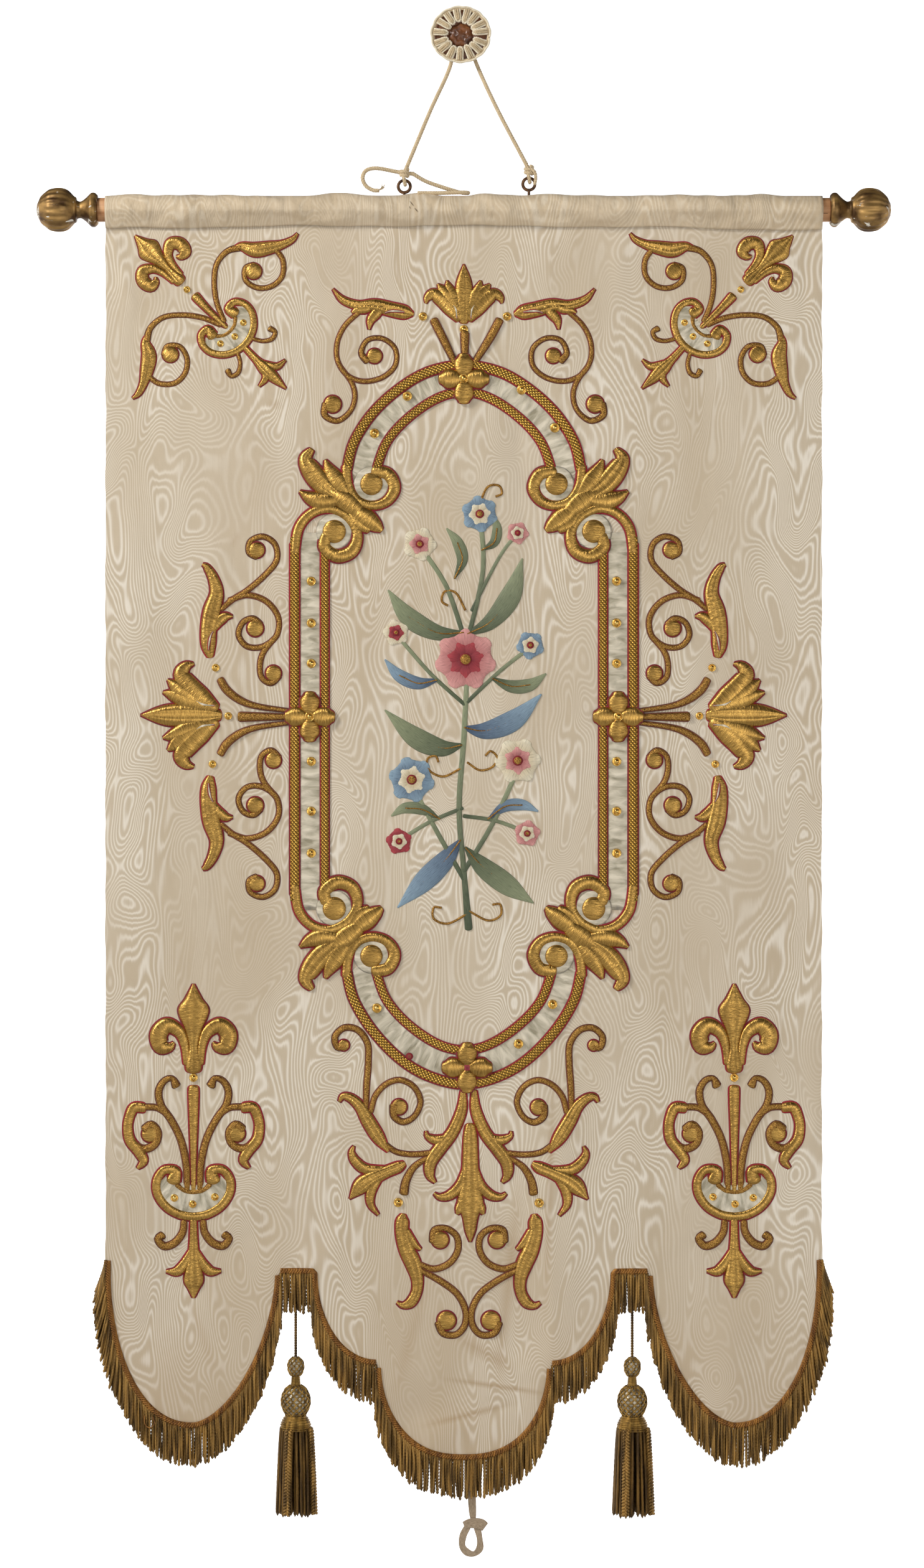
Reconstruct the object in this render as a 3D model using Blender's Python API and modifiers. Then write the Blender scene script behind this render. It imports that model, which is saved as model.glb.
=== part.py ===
"""A hung church banner: watered silk on a turned pole, edged with bullion fringe and worked in gold.

Units are metres, +Z is up and the banner faces -Y. The origin is the middle of the wall boss's
flat back, which is where the whole thing hangs from. Chart sizes are millimetres, measured from
the centre of the banner's gold frame.
"""

import math
from typing import NamedTuple

import bmesh
import bpy
from mathutils import Matrix, Vector

MM = 0.001

# Where the banner hangs
BANNER_X = 0.004
PLANE_Y = -0.030
CHART_Z = -0.8706

# Banner cloth, in chart millimetres
HALF_WIDTH = 453.0
SEAM_V = 622.0
TUCK = 8.0
NOTCH_OUTER = 232.0
NOTCH_INNER = 192.0
STEP = 111.5
NOTCH_V = -699.0
STEP_V = -814.5
LOBE_V = -894.0
CENTRE_V = -934.0
LOBE_COLUMNS = 8
SHOULDER_COLUMNS = 4
CENTRE_COLUMNS = 8
CLOTH_ROWS = 11
CLOTH_THICK = 0.0022
GOLD_GAP = 0.0008
SATIN_GAP = 0.0006
SATIN_THICK = 0.0006

# Pole, its sleeve and its finials
POLE_Z = -0.2236
POLE_RADIUS = 0.015
POLE_LENGTH = 0.926
SLEEVE_THICK = 0.0014
SLEEVE_RADIUS = 0.0165
SLEEVE_ARC_POINTS = 10
SLEEVE_COLUMNS = 2
SPIGOT_RADIUS = 0.006
SPIGOT_LENGTH = 0.018
FIT_GAP = 0.0003

# Screw eyes
EYE_RADIUS = 0.0077
EYE_WIRE = 0.0020
EYE_SHANK = 0.0017
EYE_SHANK_LENGTH = 0.020
EYE_LEFT = (-0.0714, -0.1939)
EYE_RIGHT = (0.0862, -0.1909)

# Wall boss, gimp rosette and cords
NECK_RADIUS = 0.0055
NECK_LENGTH = 0.0125
BOSS_RADIUS = 0.0345
BOSS_DEPTH = 0.0075
ROSETTE_RADIUS = 0.0265
ROSETTE_WIDTH = 0.0095
ROSETTE_LOOPS = 14
CORD_RADIUS = 0.0025

# Fringe and tassels
GIMP_INSIDE = 6.5
GIMP_OUTSIDE = 1.0
GIMP_THICK = 0.0018
GIMP_LIFT = 0.0005
GIMP_BREAK = 1.4
STRAND_PITCH = 7.0
STRAND_LENGTH = 50.0
STRAND_TAPER = 0.72
EDGE_SPLAY = 13.0
TASSEL_U = 213.0
TASSEL_STRANDS = 16
TASSEL_DROP = 0.110
TASSEL_TOP_RADIUS = 0.0205
TASSEL_END_RADIUS = 0.0262
TASSEL_CORE_RADIUS = 0.0135


class Way(NamedTuple):
    """A point on a stroke of goldwork: its place and the stroke's half width there."""

    across: float
    up: float
    half: float


class Boss(NamedTuple):
    """A round padded knob at the eye of a scroll, or a petal."""

    across: float
    up: float
    radius: float


class Fold(NamedTuple):
    """A soft ridge (rise above 0) or trough in the cloth, along a line on the chart."""

    from_u: float
    from_v: float
    to_u: float
    to_v: float
    reach: float
    rise: float


class Turn(NamedTuple):
    """A point on a turned profile."""

    along: float
    radius: float


FOLDS = (
    Fold(80, 380, 100, 120, 42, -2.4),
    Fold(112, -520, 120, -830, 40, 3.6),
    Fold(60, -600, 66, -800, 36, -2.6),
    Fold(-70, -880, 60, -850, 26, -3.6),
    Fold(-40, -905, 90, -815, 24, 3.0),
    Fold(-250, -640, -330, -700, 34, -2.4),
    Fold(260, -660, 340, -700, 34, -2.6),
    Fold(330, -780, 338, -860, 30, 3.0),
    Fold(-400, -560, -420, -720, 34, 2.6),
    Fold(410, 520, 380, 300, 60, 2.2),
    Fold(-430, 200, -420, -300, 60, 2.4),
    Fold(430, 60, 424, -460, 60, -2.4),
)
SWELL = 2.2
SWELL_LENGTH = 640.0

BAND_OUTER_U = 214.0
BAND_INNER_U = 176.0
QUATREFOIL_RADIUS = 30.0
SPRAY_MIDDLE_V = 5.6

# The frame: its arches from the crown to the left foot, then its upper left quarter
ARCH_TOP = (
    Way(0, 450, 5.5), Way(-44, 442, 5.5), Way(-81, 421, 5.5), Way(-115, 390, 5.5), Way(-139, 353, 5.5),
    Way(-148, 324, 5.5),
)
ARCH_BOTTOM = (
    Way(0, 459, 5.5), Way(-44, 449, 5.5), Way(-81, 427, 5.5), Way(-115, 392, 5.5), Way(-139, 353, 5.5),
    Way(-148, 324, 5.5),
)
ARCH_INNER = (
    Way(0, 416, 4.5), Way(-34, 408, 4.5), Way(-71, 383, 4.5), Way(-98, 352, 4.5), Way(-112, 314, 4.5),
)
ARCH_SATIN = (
    Way(0, 433, 14), Way(-39, 425, 14), Way(-76, 402, 15), Way(-107, 370, 16), Way(-129, 318, 17),
)
ARCH_VOLUTE = (
    Way(-146, 297, 5.5), Way(-134, 279, 5.5), Way(-115, 273, 5.5), Way(-97, 279, 6), Way(-88, 295, 7.5),
    Way(-96, 312, 7.5), Way(-113, 314, 7),
)
ARCH_BOSS = Boss(-117, 300, 14.5)
BAND_VOLUTE = (
    Way(-214, 220, 5.5), Way(-209, 244, 5.5), Way(-193, 263, 5.5), Way(-170, 269, 5.5),
    Way(-147, 258, 5.5), Way(-135, 237, 5.5), Way(-141, 216, 7.5), Way(-160, 209, 8),
    Way(-176, 220, 7.5), Way(-174, 234, 7),
)
BAND_BOSS = Boss(-164, 240, 15)
ACANTHUS = (
    (Way(-162, 287, 7), Way(-147, 277, 10.5), Way(-131, 264, 7), Way(-120, 254, 12), Way(-110, 246, 7)),
    (Way(-155, 287, 8), Way(-164, 308, 10), Way(-174, 327, 2.5)),
    (Way(-160, 282, 7), Way(-182, 282, 10), Way(-206, 286, 1.5)),
    (Way(-162, 286, 7), Way(-181, 302, 11.5), Way(-199, 324, 9.5), Way(-195, 340, 5)),
)

# Stems that spring from the frame's quatrefoils
SIDE_STEMS = (
    (Way(-308, 47, 4), Way(-293, 27, 4.5), Way(-263, 14, 2.5), Way(-210, 7, 2)),
    (Way(-308, -47, 4), Way(-293, -27, 4.5), Way(-263, -14, 2.5), Way(-210, -7, 2)),
    (Way(-283, 0, 5.5), Way(-210, 0, 3)),
)
TOP_STEMS = (
    (Way(-38, 507, 4.5), Way(-26, 483, 4.5), Way(-10, 448, 3)),
    (Way(45, 507, 4.5), Way(32, 483, 4.5), Way(11, 448, 3)),
    (Way(1, 490, 5), Way(1, 448, 3)),
)

# A fleur-de-lis, from its foot
FLEUR = (
    (Way(0, 0, 10), Way(0, 8, 10), Way(0, 28, 6), Way(0, 48, 10.5), Way(0, 74, 19.5), Way(0, 90, 10.5),
     Way(0, 108, 1)),
    (Way(9, 7, 4), Way(12, 32, 5.5), Way(22, 51, 8.5), Way(39, 53, 11), Way(44, 38, 11),
     Way(30, 28, 6)),
    (Way(-9, 7, 4), Way(-12, 32, 5.5), Way(-22, 51, 8.5), Way(-39, 53, 11), Way(-44, 38, 11),
     Way(-30, 28, 6)),
)

# The cup below each fleur-de-lis, from the cup's middle
CUP = (
    (Way(22, 19, 7), Way(26, 32, 6.5), Way(41, 32, 5.5), Way(48, 12, 5.5), Way(37, -11, 5.5),
     Way(14, -24, 5.5), Way(-14, -24, 5.5), Way(-37, -11, 5.5), Way(-48, 12, 5.5), Way(-41, 32, 5.5),
     Way(-26, 32, 6.5), Way(-22, 19, 7)),
    (Way(24, 17, 3), Way(0, 6, 3), Way(-24, 17, 3)),
)
SMALL_FLEUR = (
    (Way(0, -22, 4.5), Way(0, -64, 6), Way(0, -104, 12.5), Way(0, -127, 2)),
    (Way(3, -68, 3.5), Way(15, -89, 6.5), Way(35, -94, 1.5)),
    (Way(-3, -68, 3.5), Way(-15, -89, 6.5), Way(-35, -94, 1.5)),
)
LOWER_SCROLL = ((Way(12, -22, 3.5), Way(18, -53, 4), Way(43, -58, 5.5)),)
UPPER_SCROLL = ((Way(14, -20, 2.5), Way(27, -43, 3), Way(47, -42, 4.5)),)
LOWER_BAR = ((Way(0, 138, 6.5), Way(0, 8, 3)),)
UPPER_BAR = ((Way(0, 84, 7), Way(0, 8, 3.5)),)

# Scrolls that rise from the lower and the upper cups, on one side of each
LOWER_STEM = (
    (Way(8, 8, 3.5), Way(13, 64, 4), Way(30, 100, 4), Way(43, 120, 4), Way(42, 141, 3.5), Way(27, 149, 5)),
    (Way(31, 103, 3.5), Way(46, 113, 3.5), Way(66, 114, 4)),
    (Way(64, 115, 7), Way(78, 107, 7), Way(83, 82, 6), Way(66, 55, 6.5), Way(69, 37, 2)),
    (Way(77, 69, 4), Way(61, 61, 4.5), Way(47, 73, 4.5)),
)
LOWER_STEM_BOSS = Boss(56, 81, 11.5)
CORNER_SCROLL = (
    (Way(6, 12, 3.5), Way(18, 57, 3.5), Way(45, 88, 3.5), Way(83, 99, 4), Way(109, 84, 7),
     Way(127, 62, 11.5), Way(155, 45, 6.5), Way(185, 40, 1.5)),
    (Way(134, 58, 3.5), Way(139, 28, 3.5), Way(114, 8, 3.5), Way(85, 17, 3.5), Way(79, 42, 3.5)),
)
CORNER_SCROLL_BOSS = Boss(92, 45, 13)

# Palmettes, from the foot, and the long pendant below the frame
PALMETTE = (
    (Way(0, -1, 6.5), Way(0, 15, 13), Way(0, 38, 13), Way(0, 61, 13), Way(0, 78, 8.5), Way(0, 98, 1)),
    (Way(7, 5, 8.5), Way(20, 22, 12), Way(37, 38, 10.5), Way(53, 45, 8), Way(63, 33, 1)),
    (Way(14, 18, 10), Way(19, 42, 10), Way(26, 60, 2)),
    (Way(-7, 5, 8.5), Way(-20, 22, 12), Way(-37, 38, 10.5), Way(-53, 45, 8), Way(-63, 33, 1)),
    (Way(-14, 18, 10), Way(-19, 42, 10), Way(-26, 60, 2)),
)
PENDANT = (
    (Way(0, -512, 6.5), Way(0, -527, 9), Way(0, -564, 10.5), Way(0, -590, 13.5), Way(0, -611, 16.5),
     Way(0, -627, 10), Way(0, -645, 6.5), Way(0, -659, 1)),
    (Way(5, -560, 3), Way(12, -586, 6.5), Way(25, -599, 6), Way(38, -602, 4), Way(46, -597, 1.5)),
    (Way(-5, -560, 3), Way(-12, -586, 6.5), Way(-25, -599, 6), Way(-38, -602, 4), Way(-46, -597, 1.5)),
    (Way(5, -598, 5.5), Way(13, -616, 6), Way(17, -624, 1.5)),
    (Way(-5, -598, 5.5), Way(-13, -616, 6), Way(-17, -624, 1.5)),
)

# The spray above and below each side palmette, from the palmette's middle line
SIDE_SPRAY = (
    (Way(-321, 77, 4.5), Way(-323, 91, 9), Way(-320, 128, 11), Way(-313, 156, 8.5),
     Way(-318, 178, 6.5), Way(-331, 193, 1.5)),
    (Way(-315, 119, 6), Way(-303, 127, 5.5), Way(-293, 127, 1)),
    (Way(-313, 132, 2.5), Way(-293, 148, 3), Way(-252, 179, 3), Way(-236, 207, 3),
     Way(-254, 228, 3), Way(-270, 222, 3), Way(-273, 208, 3)),
    (Way(-297, 146, 3), Way(-274, 154, 3), Way(-245, 142, 3), Way(-234, 115, 3),
     Way(-249, 91, 3), Way(-274, 89, 3), Way(-285, 106, 3), Way(-272, 124, 3.5)),
    (Way(-239, 101, 3), Way(-255, 78, 3), Way(-257, 51, 3), Way(-244, 44, 3.5)),
)
SIDE_SPRAY_BOSSES = (Boss(-263, 211, 10), Boss(-264, 114, 10.5), Boss(-242, 54, 10))
TOP_SPRAY = (
    (Way(-65, 515, 3), Way(-76, 517, 8.5), Way(-108, 525, 8.5), Way(-136, 527, 6),
     Way(-153, 533, 4.5), Way(-166, 547, 1)),
    (Way(-112, 521, 5.5), Way(-118, 509, 5), Way(-120, 495, 1)),
    (Way(-130, 523, 2.5), Way(-154, 496, 2.5), Way(-161, 464, 2.5),
     Way(-148, 438, 2.5), Way(-121, 430, 2.5), Way(-93, 441, 2.5),
     Way(-86, 466, 2.5), Way(-103, 484, 2.5), Way(-124, 479, 2.5), Way(-125, 463, 3.5)),
    (Way(-158, 450, 2.5), Way(-142, 428, 2.5), Way(-139, 401, 2.5),
     Way(-160, 381, 3), Way(-173, 391, 3.5)),
)
TOP_SPRAY_BOSSES = (Boss(-115, 461, 9.5), Boss(-167, 399, 11))
BOTTOM_SPRAY = (
    (Way(-9, -471, 3.5), Way(-9, -492, 6.5), Way(-20, -519, 7.5), Way(-36, -540, 8),
     Way(-48, -558, 7.5), Way(-49, -574, 5.5), Way(-42, -584, 1.5)),
    (Way(-23, -527, 5.5), Way(-40, -530, 6), Way(-52, -525, 3.5), Way(-54, -518, 1)),
    (Way(-42, -546, 3), Way(-70, -548, 3), Way(-91, -545, 3), Way(-108, -534, 3)),
    (Way(-102, -544, 2), Way(-114, -527, 8), Way(-127, -506, 8.5), Way(-137, -488, 7),
     Way(-149, -477, 5.5), Way(-159, -475, 4), Way(-164, -482, 1.5)),
    (Way(-128, -506, 3), Way(-118, -474, 3), Way(-104, -459, 3), Way(-86, -454, 3), Way(-69, -463, 3),
     Way(-61, -481, 3), Way(-68, -499, 3), Way(-82, -507, 3.5), Way(-94, -500, 4)),
    (Way(-132, -500, 3), Way(-129, -461, 3.5), Way(-127, -432, 3.5), Way(-128, -408, 3.5),
     Way(-140, -391, 3.5), Way(-157, -388, 3.5), Way(-169, -399, 3.5), Way(-166, -412, 4)),
    (Way(-46, -550, 2.5), Way(-69, -564, 3.5), Way(-79, -581, 4.5), Way(-82, -597, 5.5)),
)
BOTTOM_SPRAY_BOSSES = (Boss(-88, -490, 10), Boss(-158, -410, 7))
BOTTOM_SCROLL = (
    (Way(-83, -625, 4), Way(-84, -632, 8), Way(-84, -648, 8.5), Way(-78, -669, 10), Way(-70, -687, 10),
     Way(-65, -706, 7.5), Way(-66, -722, 6.5), Way(-73, -735, 6.5), Way(-83, -739, 4),
     Way(-91, -735, 1.5)),
    (Way(-66, -687, 3), Way(-44, -693, 3.5), Way(-25, -686, 3.5), Way(-14, -670, 3.5),
     Way(-15, -652, 3.5), Way(-28, -642, 3.5), Way(-43, -644, 4)),
    (Way(-66, -692, 3), Way(-36, -708, 3.5), Way(-15, -724, 3.5), Way(-6, -745, 3.5),
     Way(-7, -764, 3.5), Way(-16, -776, 3.5), Way(-32, -774, 4)),
)
BOTTOM_SCROLL_BOSSES = (Boss(-38, -655, 11), Boss(-29, -760, 12))
SIDE_FLEUR = (
    (Way(-82, -560, 4), Way(-89, -564, 7), Way(-104, -570, 7.5), Way(-123, -579, 9.5),
     Way(-137, -589, 10), Way(-151, -605, 1)),
    (Way(-104, -567, 4), Way(-129, -567, 6.5), Way(-143, -557, 6), Way(-148, -546, 4),
     Way(-145, -537, 1)),
    (Way(-112, -577, 4), Way(-123, -594, 6), Way(-124, -611, 4.5), Way(-114, -625, 1.5)),
)

# The flower spray inside the frame: stems, leaves and three blooms of round petals
SPRAY_STEMS = (
    (Way(6, -262, 5), Way(0, -190, 3.5), Way(-6, -110, 3.5), Way(0, -20, 3.5), Way(4, 60, 3)),
    (Way(0, -200, 3), Way(-34, -140, 3), Way(-62, -88, 3)),
    (Way(0, -190, 3), Way(36, -130, 3), Way(66, -66, 3)),
    (Way(2, 100, 3), Way(-22, 170, 3), Way(-52, 216, 3)),
    (Way(4, 100, 3), Way(24, 190, 3), Way(20, 262, 3)),
)
SPRAY_LEAVES = (
    (Way(-4, -150, 3), Way(-44, -190, 15), Way(-84, -236, 2)),
    (Way(2, -160, 3), Way(46, -196, 15), Way(88, -230, 2)),
    (Way(-2, -30, 3), Way(-52, -26, 14), Way(-100, 14, 2)),
    (Way(0, -8, 3), Way(54, -4, 14), Way(98, 34, 2)),
    (Way(4, 110, 3), Way(52, 146, 14), Way(74, 206, 2)),
    (Way(0, 112, 3), Way(-58, 122, 14), Way(-96, 166, 2)),
)
SPRAY_BLOOMS = (
    Boss(2, 78, 34), Boss(-66, -74, 24), Boss(68, -50, 24), Boss(-56, 224, 17), Boss(20, 262, 19),
)


def clear_scene():
    for obj in list(bpy.data.objects):
        bpy.data.objects.remove(obj, do_unlink=True)


def collection(name):
    made = bpy.data.collections.new(name)
    bpy.context.scene.collection.children.link(made)
    return made


def material(name, colour, roughness, metallic=0.0):
    made = bpy.data.materials.new(name)
    made.use_nodes = True
    shader = made.node_tree.nodes["Principled BSDF"]
    shader.inputs["Base Color"].default_value = (*colour, 1.0)
    shader.inputs["Roughness"].default_value = roughness
    shader.inputs["Metallic"].default_value = metallic
    return made


def add(name, mesh, finish, group):
    mesh.materials.clear()
    mesh.materials.append(finish)
    obj = bpy.data.objects.new(name, mesh)
    group.objects.link(obj)
    return obj


def mesh_of(shape, name):
    """Turns a bmesh into a named mesh and frees it."""
    mesh = bpy.data.meshes.new(name)
    shape.to_mesh(mesh)
    shape.free()
    return mesh


def evaluated_mesh(obj):
    """The object's mesh with its modifiers, and the object itself removed."""
    bpy.context.view_layer.update()
    graph = bpy.context.evaluated_depsgraph_get()
    mesh = bpy.data.meshes.new_from_object(obj.evaluated_get(graph))
    mesh.transform(obj.matrix_world)
    bpy.data.objects.remove(obj, do_unlink=True)
    return mesh


def welded(mesh, distance=1e-5):
    shape = bmesh.new()
    shape.from_mesh(mesh)
    bmesh.ops.remove_doubles(shape, verts=shape.verts, dist=distance)
    bmesh.ops.dissolve_degenerate(shape, dist=distance, edges=shape.edges)
    bmesh.ops.recalc_face_normals(shape, faces=shape.faces)
    shape.to_mesh(mesh)
    shape.free()
    return mesh


def merged(meshes):
    shape = bmesh.new()
    for mesh in meshes:
        shape.from_mesh(mesh)
    return mesh_of(shape, "merged")


def boolean(base, others, operation, group, inside_itself=False):
    """The base mesh joined with, or cut by, the other meshes."""
    body = add("boolean_base", base, bpy.data.materials[0], group)
    tool = add("boolean_tool", merged(others), bpy.data.materials[0], group)
    tool.hide_render = True
    tool.display_type = "WIRE"
    change = body.modifiers.new("change", "BOOLEAN")
    change.operation = operation
    change.solver = "EXACT"
    change.use_self = inside_itself
    change.object = tool
    mesh = evaluated_mesh(body)
    bpy.data.objects.remove(tool, do_unlink=True)
    return mesh


def world(u, v):
    """Chart millimetres to the row's x and z."""
    return BANNER_X + u * MM, CHART_Z + v * MM


def hem_v(u):
    """The height of the hem at a chart column: a deep centre lobe, shoulders, notches and side lobes."""
    u = abs(u)
    if u <= STEP:
        return STEP_V + (CENTRE_V - STEP_V) * (1 - (u / STEP) ** 2.4) ** 0.5
    if u <= NOTCH_INNER:
        share = (NOTCH_INNER - u) / (NOTCH_INNER - STEP)
        return NOTCH_V + (STEP_V - NOTCH_V) * (1 - (1 - share) ** 2) ** 0.5
    if u <= NOTCH_OUTER:
        return NOTCH_V
    middle = (NOTCH_OUTER + HALF_WIDTH) / 2
    share = min(1.0, abs(u - middle) / (HALF_WIDTH - middle))
    if u < middle:
        return NOTCH_V + (LOBE_V - NOTCH_V) * (1 - share**1.7) ** 0.6
    return NOTCH_V + (LOBE_V - NOTCH_V) * (1 - share**2.2) ** 0.5


def eased(start, end, count, both):
    """Columns from start to end, close together at the steep end, or at both ends, of a lobe."""
    if both:
        shares = [(1 - math.cos(math.pi * i / count)) / 2 for i in range(count + 1)]
    else:
        shares = [1 - math.cos(math.pi * i / count / 2) for i in range(count + 1)]
    return [start + (end - start) * share for share in shares]


def cloth_columns():
    right = [STEP - u for u in eased(0, STEP, CENTRE_COLUMNS // 2, False)]
    right += eased(NOTCH_INNER, STEP + 0.5, SHOULDER_COLUMNS, False)
    right += eased(NOTCH_OUTER, HALF_WIDTH, LOBE_COLUMNS, True)
    right = sorted({round(u, 3) for u in right})
    return [-u for u in reversed(right) if u > 0] + right


COLUMNS = cloth_columns()


def fold_rise(u, v):
    """How far the folds push the cloth to the front at a chart point, in millimetres."""
    hang = max(0.0, min(1.0, (SEAM_V - v) / 500.0))
    rise = SWELL * hang * math.sin(2 * math.pi * u / SWELL_LENGTH + 0.5)
    for fold in FOLDS:
        along_u, along_v = fold.to_u - fold.from_u, fold.to_v - fold.from_v
        share = ((u - fold.from_u) * along_u + (v - fold.from_v) * along_v) / (along_u**2 + along_v**2)
        share = max(0.0, min(1.0, share))
        away = math.hypot(u - fold.from_u - share * along_u, v - fold.from_v - share * along_v)
        rise += fold.rise * math.exp(-((away / fold.reach) ** 2))
    return rise


def cloth_point(i, j):
    """The chart point and rise of the cloth's grid at a column and a row counted from the hem."""
    u = COLUMNS[i]
    v = hem_v(u) + (SEAM_V + TUCK - hem_v(u)) * j / CLOTH_ROWS
    return u, v, fold_rise(u, v)


def front_y(u, v):
    """The y of the cloth's front face at a chart point, between the points of its grid."""
    u = max(COLUMNS[0], min(COLUMNS[-1], u))
    i = max(k for k in range(len(COLUMNS) - 1) if COLUMNS[k] <= u)
    across = (u - COLUMNS[i]) / (COLUMNS[i + 1] - COLUMNS[i])
    hem = hem_v(COLUMNS[i]) * (1 - across) + hem_v(COLUMNS[i + 1]) * across
    rows = max(0.0, min(1.0, (v - hem) / (SEAM_V + TUCK - hem))) * CLOTH_ROWS
    j = min(CLOTH_ROWS - 1, int(rows))
    up = rows - j
    rise = 0.0
    for column, row, weight in (
        (i, j, (1 - across) * (1 - up)),
        (i + 1, j, across * (1 - up)),
        (i, j + 1, (1 - across) * up),
        (i + 1, j + 1, across * up),
    ):
        rise += cloth_point(column, row)[2] * weight
    return PLANE_Y - CLOTH_THICK / 2 - rise * MM


def grid_mesh(name, across, down, place):
    """A grid whose point (i, j) is placed by a function."""
    shape = bmesh.new()
    bmesh.ops.create_grid(shape, x_segments=across, y_segments=down, size=0.5)
    for vert in shape.verts:
        vert.co = place(round((vert.co.x + 0.5) * across), round((vert.co.y + 0.5) * down))
    return mesh_of(shape, name)


def thickened(obj, thickness):
    solid = obj.modifiers.new("thickness", "SOLIDIFY")
    solid.thickness = thickness
    solid.offset = 0.0
    solid.use_rim = True
    return obj


def make_cloth(group, silk):
    def place(i, j):
        u, v, rise = cloth_point(i, j)
        x, z = world(u, v)
        return Vector((x, PLANE_Y - rise * MM, z))

    mesh = grid_mesh("banner_cloth", len(COLUMNS) - 1, CLOTH_ROWS, place)
    thickened(add("banner_cloth", mesh, silk, group), CLOTH_THICK)


def sleeve_line():
    """The sleeve's middle line in y and z: up the front of the pole, over it and down the back."""
    drop = POLE_Z - world(0, SEAM_V)[1]
    side = CLOTH_THICK / 2 + FIT_GAP + SLEEVE_THICK / 2 + 0.0004
    first = math.pi + math.atan2(drop, side) - math.acos(SLEEVE_RADIUS / math.hypot(drop, side))
    line = [(-side, -drop)]
    for i in range(SLEEVE_ARC_POINTS + 1):
        angle = first - (2 * first - math.pi) * i / SLEEVE_ARC_POINTS
        line.append((SLEEVE_RADIUS * math.cos(angle), SLEEVE_RADIUS * math.sin(angle)))
    line.append((side, -drop))
    return line


def make_sleeve(group, heading, holes):
    line = sleeve_line()
    length = 2 * HALF_WIDTH * MM

    def place(i, j):
        y, z = line[j]
        return Vector((BANNER_X + length * (i / SLEEVE_COLUMNS - 0.5), PLANE_Y + y, POLE_Z + z))

    mesh = grid_mesh("pole_sleeve", SLEEVE_COLUMNS, len(line) - 1, place)
    sheet = thickened(add("sleeve_sheet", mesh, heading, group), SLEEVE_THICK)
    mesh = boolean(welded(evaluated_mesh(sheet)), holes, "DIFFERENCE", group)
    add("pole_sleeve", mesh, heading, group)


def cylinder(radius, length, centre, axis, sides, end_radius=None):
    shape = bmesh.new()
    far = radius if end_radius is None else end_radius
    bmesh.ops.create_cone(shape, cap_ends=True, segments=sides, radius1=radius, radius2=far, depth=length)
    turn = Vector((0, 0, 1)).rotation_difference(Vector(axis)).to_matrix().to_4x4()
    bmesh.ops.transform(shape, matrix=Matrix.Translation(centre) @ turn, verts=shape.verts)
    return mesh_of(shape, "cylinder")


def shank_holes():
    """Cylinders a little wider than the screw eyes' shanks, for the sleeve and the pole."""
    centres = [(x, PLANE_Y, POLE_Z + 0.022) for x, _ in (EYE_LEFT, EYE_RIGHT)]
    return [cylinder(EYE_SHANK + FIT_GAP, 0.050, centre, (0, 0, 1), 10) for centre in centres]


def make_pole(group, wood):
    pole = cylinder(POLE_RADIUS, POLE_LENGTH, (BANNER_X, PLANE_Y, POLE_Z), (1, 0, 0), 16)
    holes = shank_holes()
    for side in (-1, 1):
        centre = (BANNER_X + side * POLE_LENGTH / 2, PLANE_Y, POLE_Z)
        holes.append(cylinder(SPIGOT_RADIUS + 0.0008, 2 * (SPIGOT_LENGTH + 0.001), centre, (1, 0, 0), 10))
    add("pole", boolean(pole, holes, "DIFFERENCE", group), wood, group)


FINIAL_PROFILE = (
    Turn(0.0, 0.0185),
    Turn(3.0, 0.0212),
    Turn(8.5, 0.0208),
    Turn(14.5, 0.0150),
    Turn(20.5, 0.0108),
    Turn(26.0, 0.0120),
    Turn(29.5, 0.0180),
    Turn(37.0, 0.0242),
    Turn(50.0, 0.0272),
    Turn(62.0, 0.0248),
    Turn(71.0, 0.0176),
    Turn(76.0, 0.0080),
    Turn(77.3, 0.0),
)


def turned(name, profile, steps, finish, group):
    """A solid turned about Z from a profile."""
    shape = bmesh.new()
    points = [shape.verts.new((turn.radius, 0.0, turn.along * MM)) for turn in profile]
    for first, second in zip(points, points[1:]):
        shape.edges.new((first, second))
    obj = add(name, mesh_of(shape, name), finish, group)
    screw = obj.modifiers.new("turned", "SCREW")
    screw.steps = screw.render_steps = steps
    screw.use_merge_vertices = True
    screw.merge_threshold = 0.00001
    return obj


def make_finials(group, gilt):
    root = -SPIGOT_LENGTH / MM
    spigot = (Turn(root, 0.0), Turn(root, SPIGOT_RADIUS), Turn(0.0, SPIGOT_RADIUS))
    for side, name in ((-1, "finial_left"), (1, "finial_right")):
        obj = turned(name, (spigot + FINIAL_PROFILE)[::-1], 10, gilt, group)
        obj.location = (BANNER_X + side * (POLE_LENGTH / 2 + FIT_GAP), PLANE_Y, POLE_Z)
        obj.rotation_euler = (0, side * math.pi / 2, 0)


def torus(major, minor, centre, around, tube, axis=(0, 1, 0)):
    bpy.ops.mesh.primitive_torus_add(
        major_radius=major, minor_radius=minor, major_segments=around, minor_segments=tube
    )
    obj = bpy.context.object
    turn = Vector((0, 0, 1)).rotation_difference(Vector(axis)).to_matrix().to_4x4()
    obj.matrix_world = Matrix.Translation(centre) @ turn
    return evaluated_mesh(obj)


def make_screw_eyes(group, iron):
    for name, (x, z) in (("screw_eye_left", EYE_LEFT), ("screw_eye_right", EYE_RIGHT)):
        ring = torus(EYE_RADIUS, EYE_WIRE, (x, PLANE_Y, z), 12, 6)
        middle = z - EYE_RADIUS - EYE_SHANK_LENGTH / 2
        shank = cylinder(EYE_SHANK, EYE_SHANK_LENGTH, (x, PLANE_Y, middle), (0, 0, 1), 8)
        add(name, boolean(ring, [shank], "UNION", group), iron, group)


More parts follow.
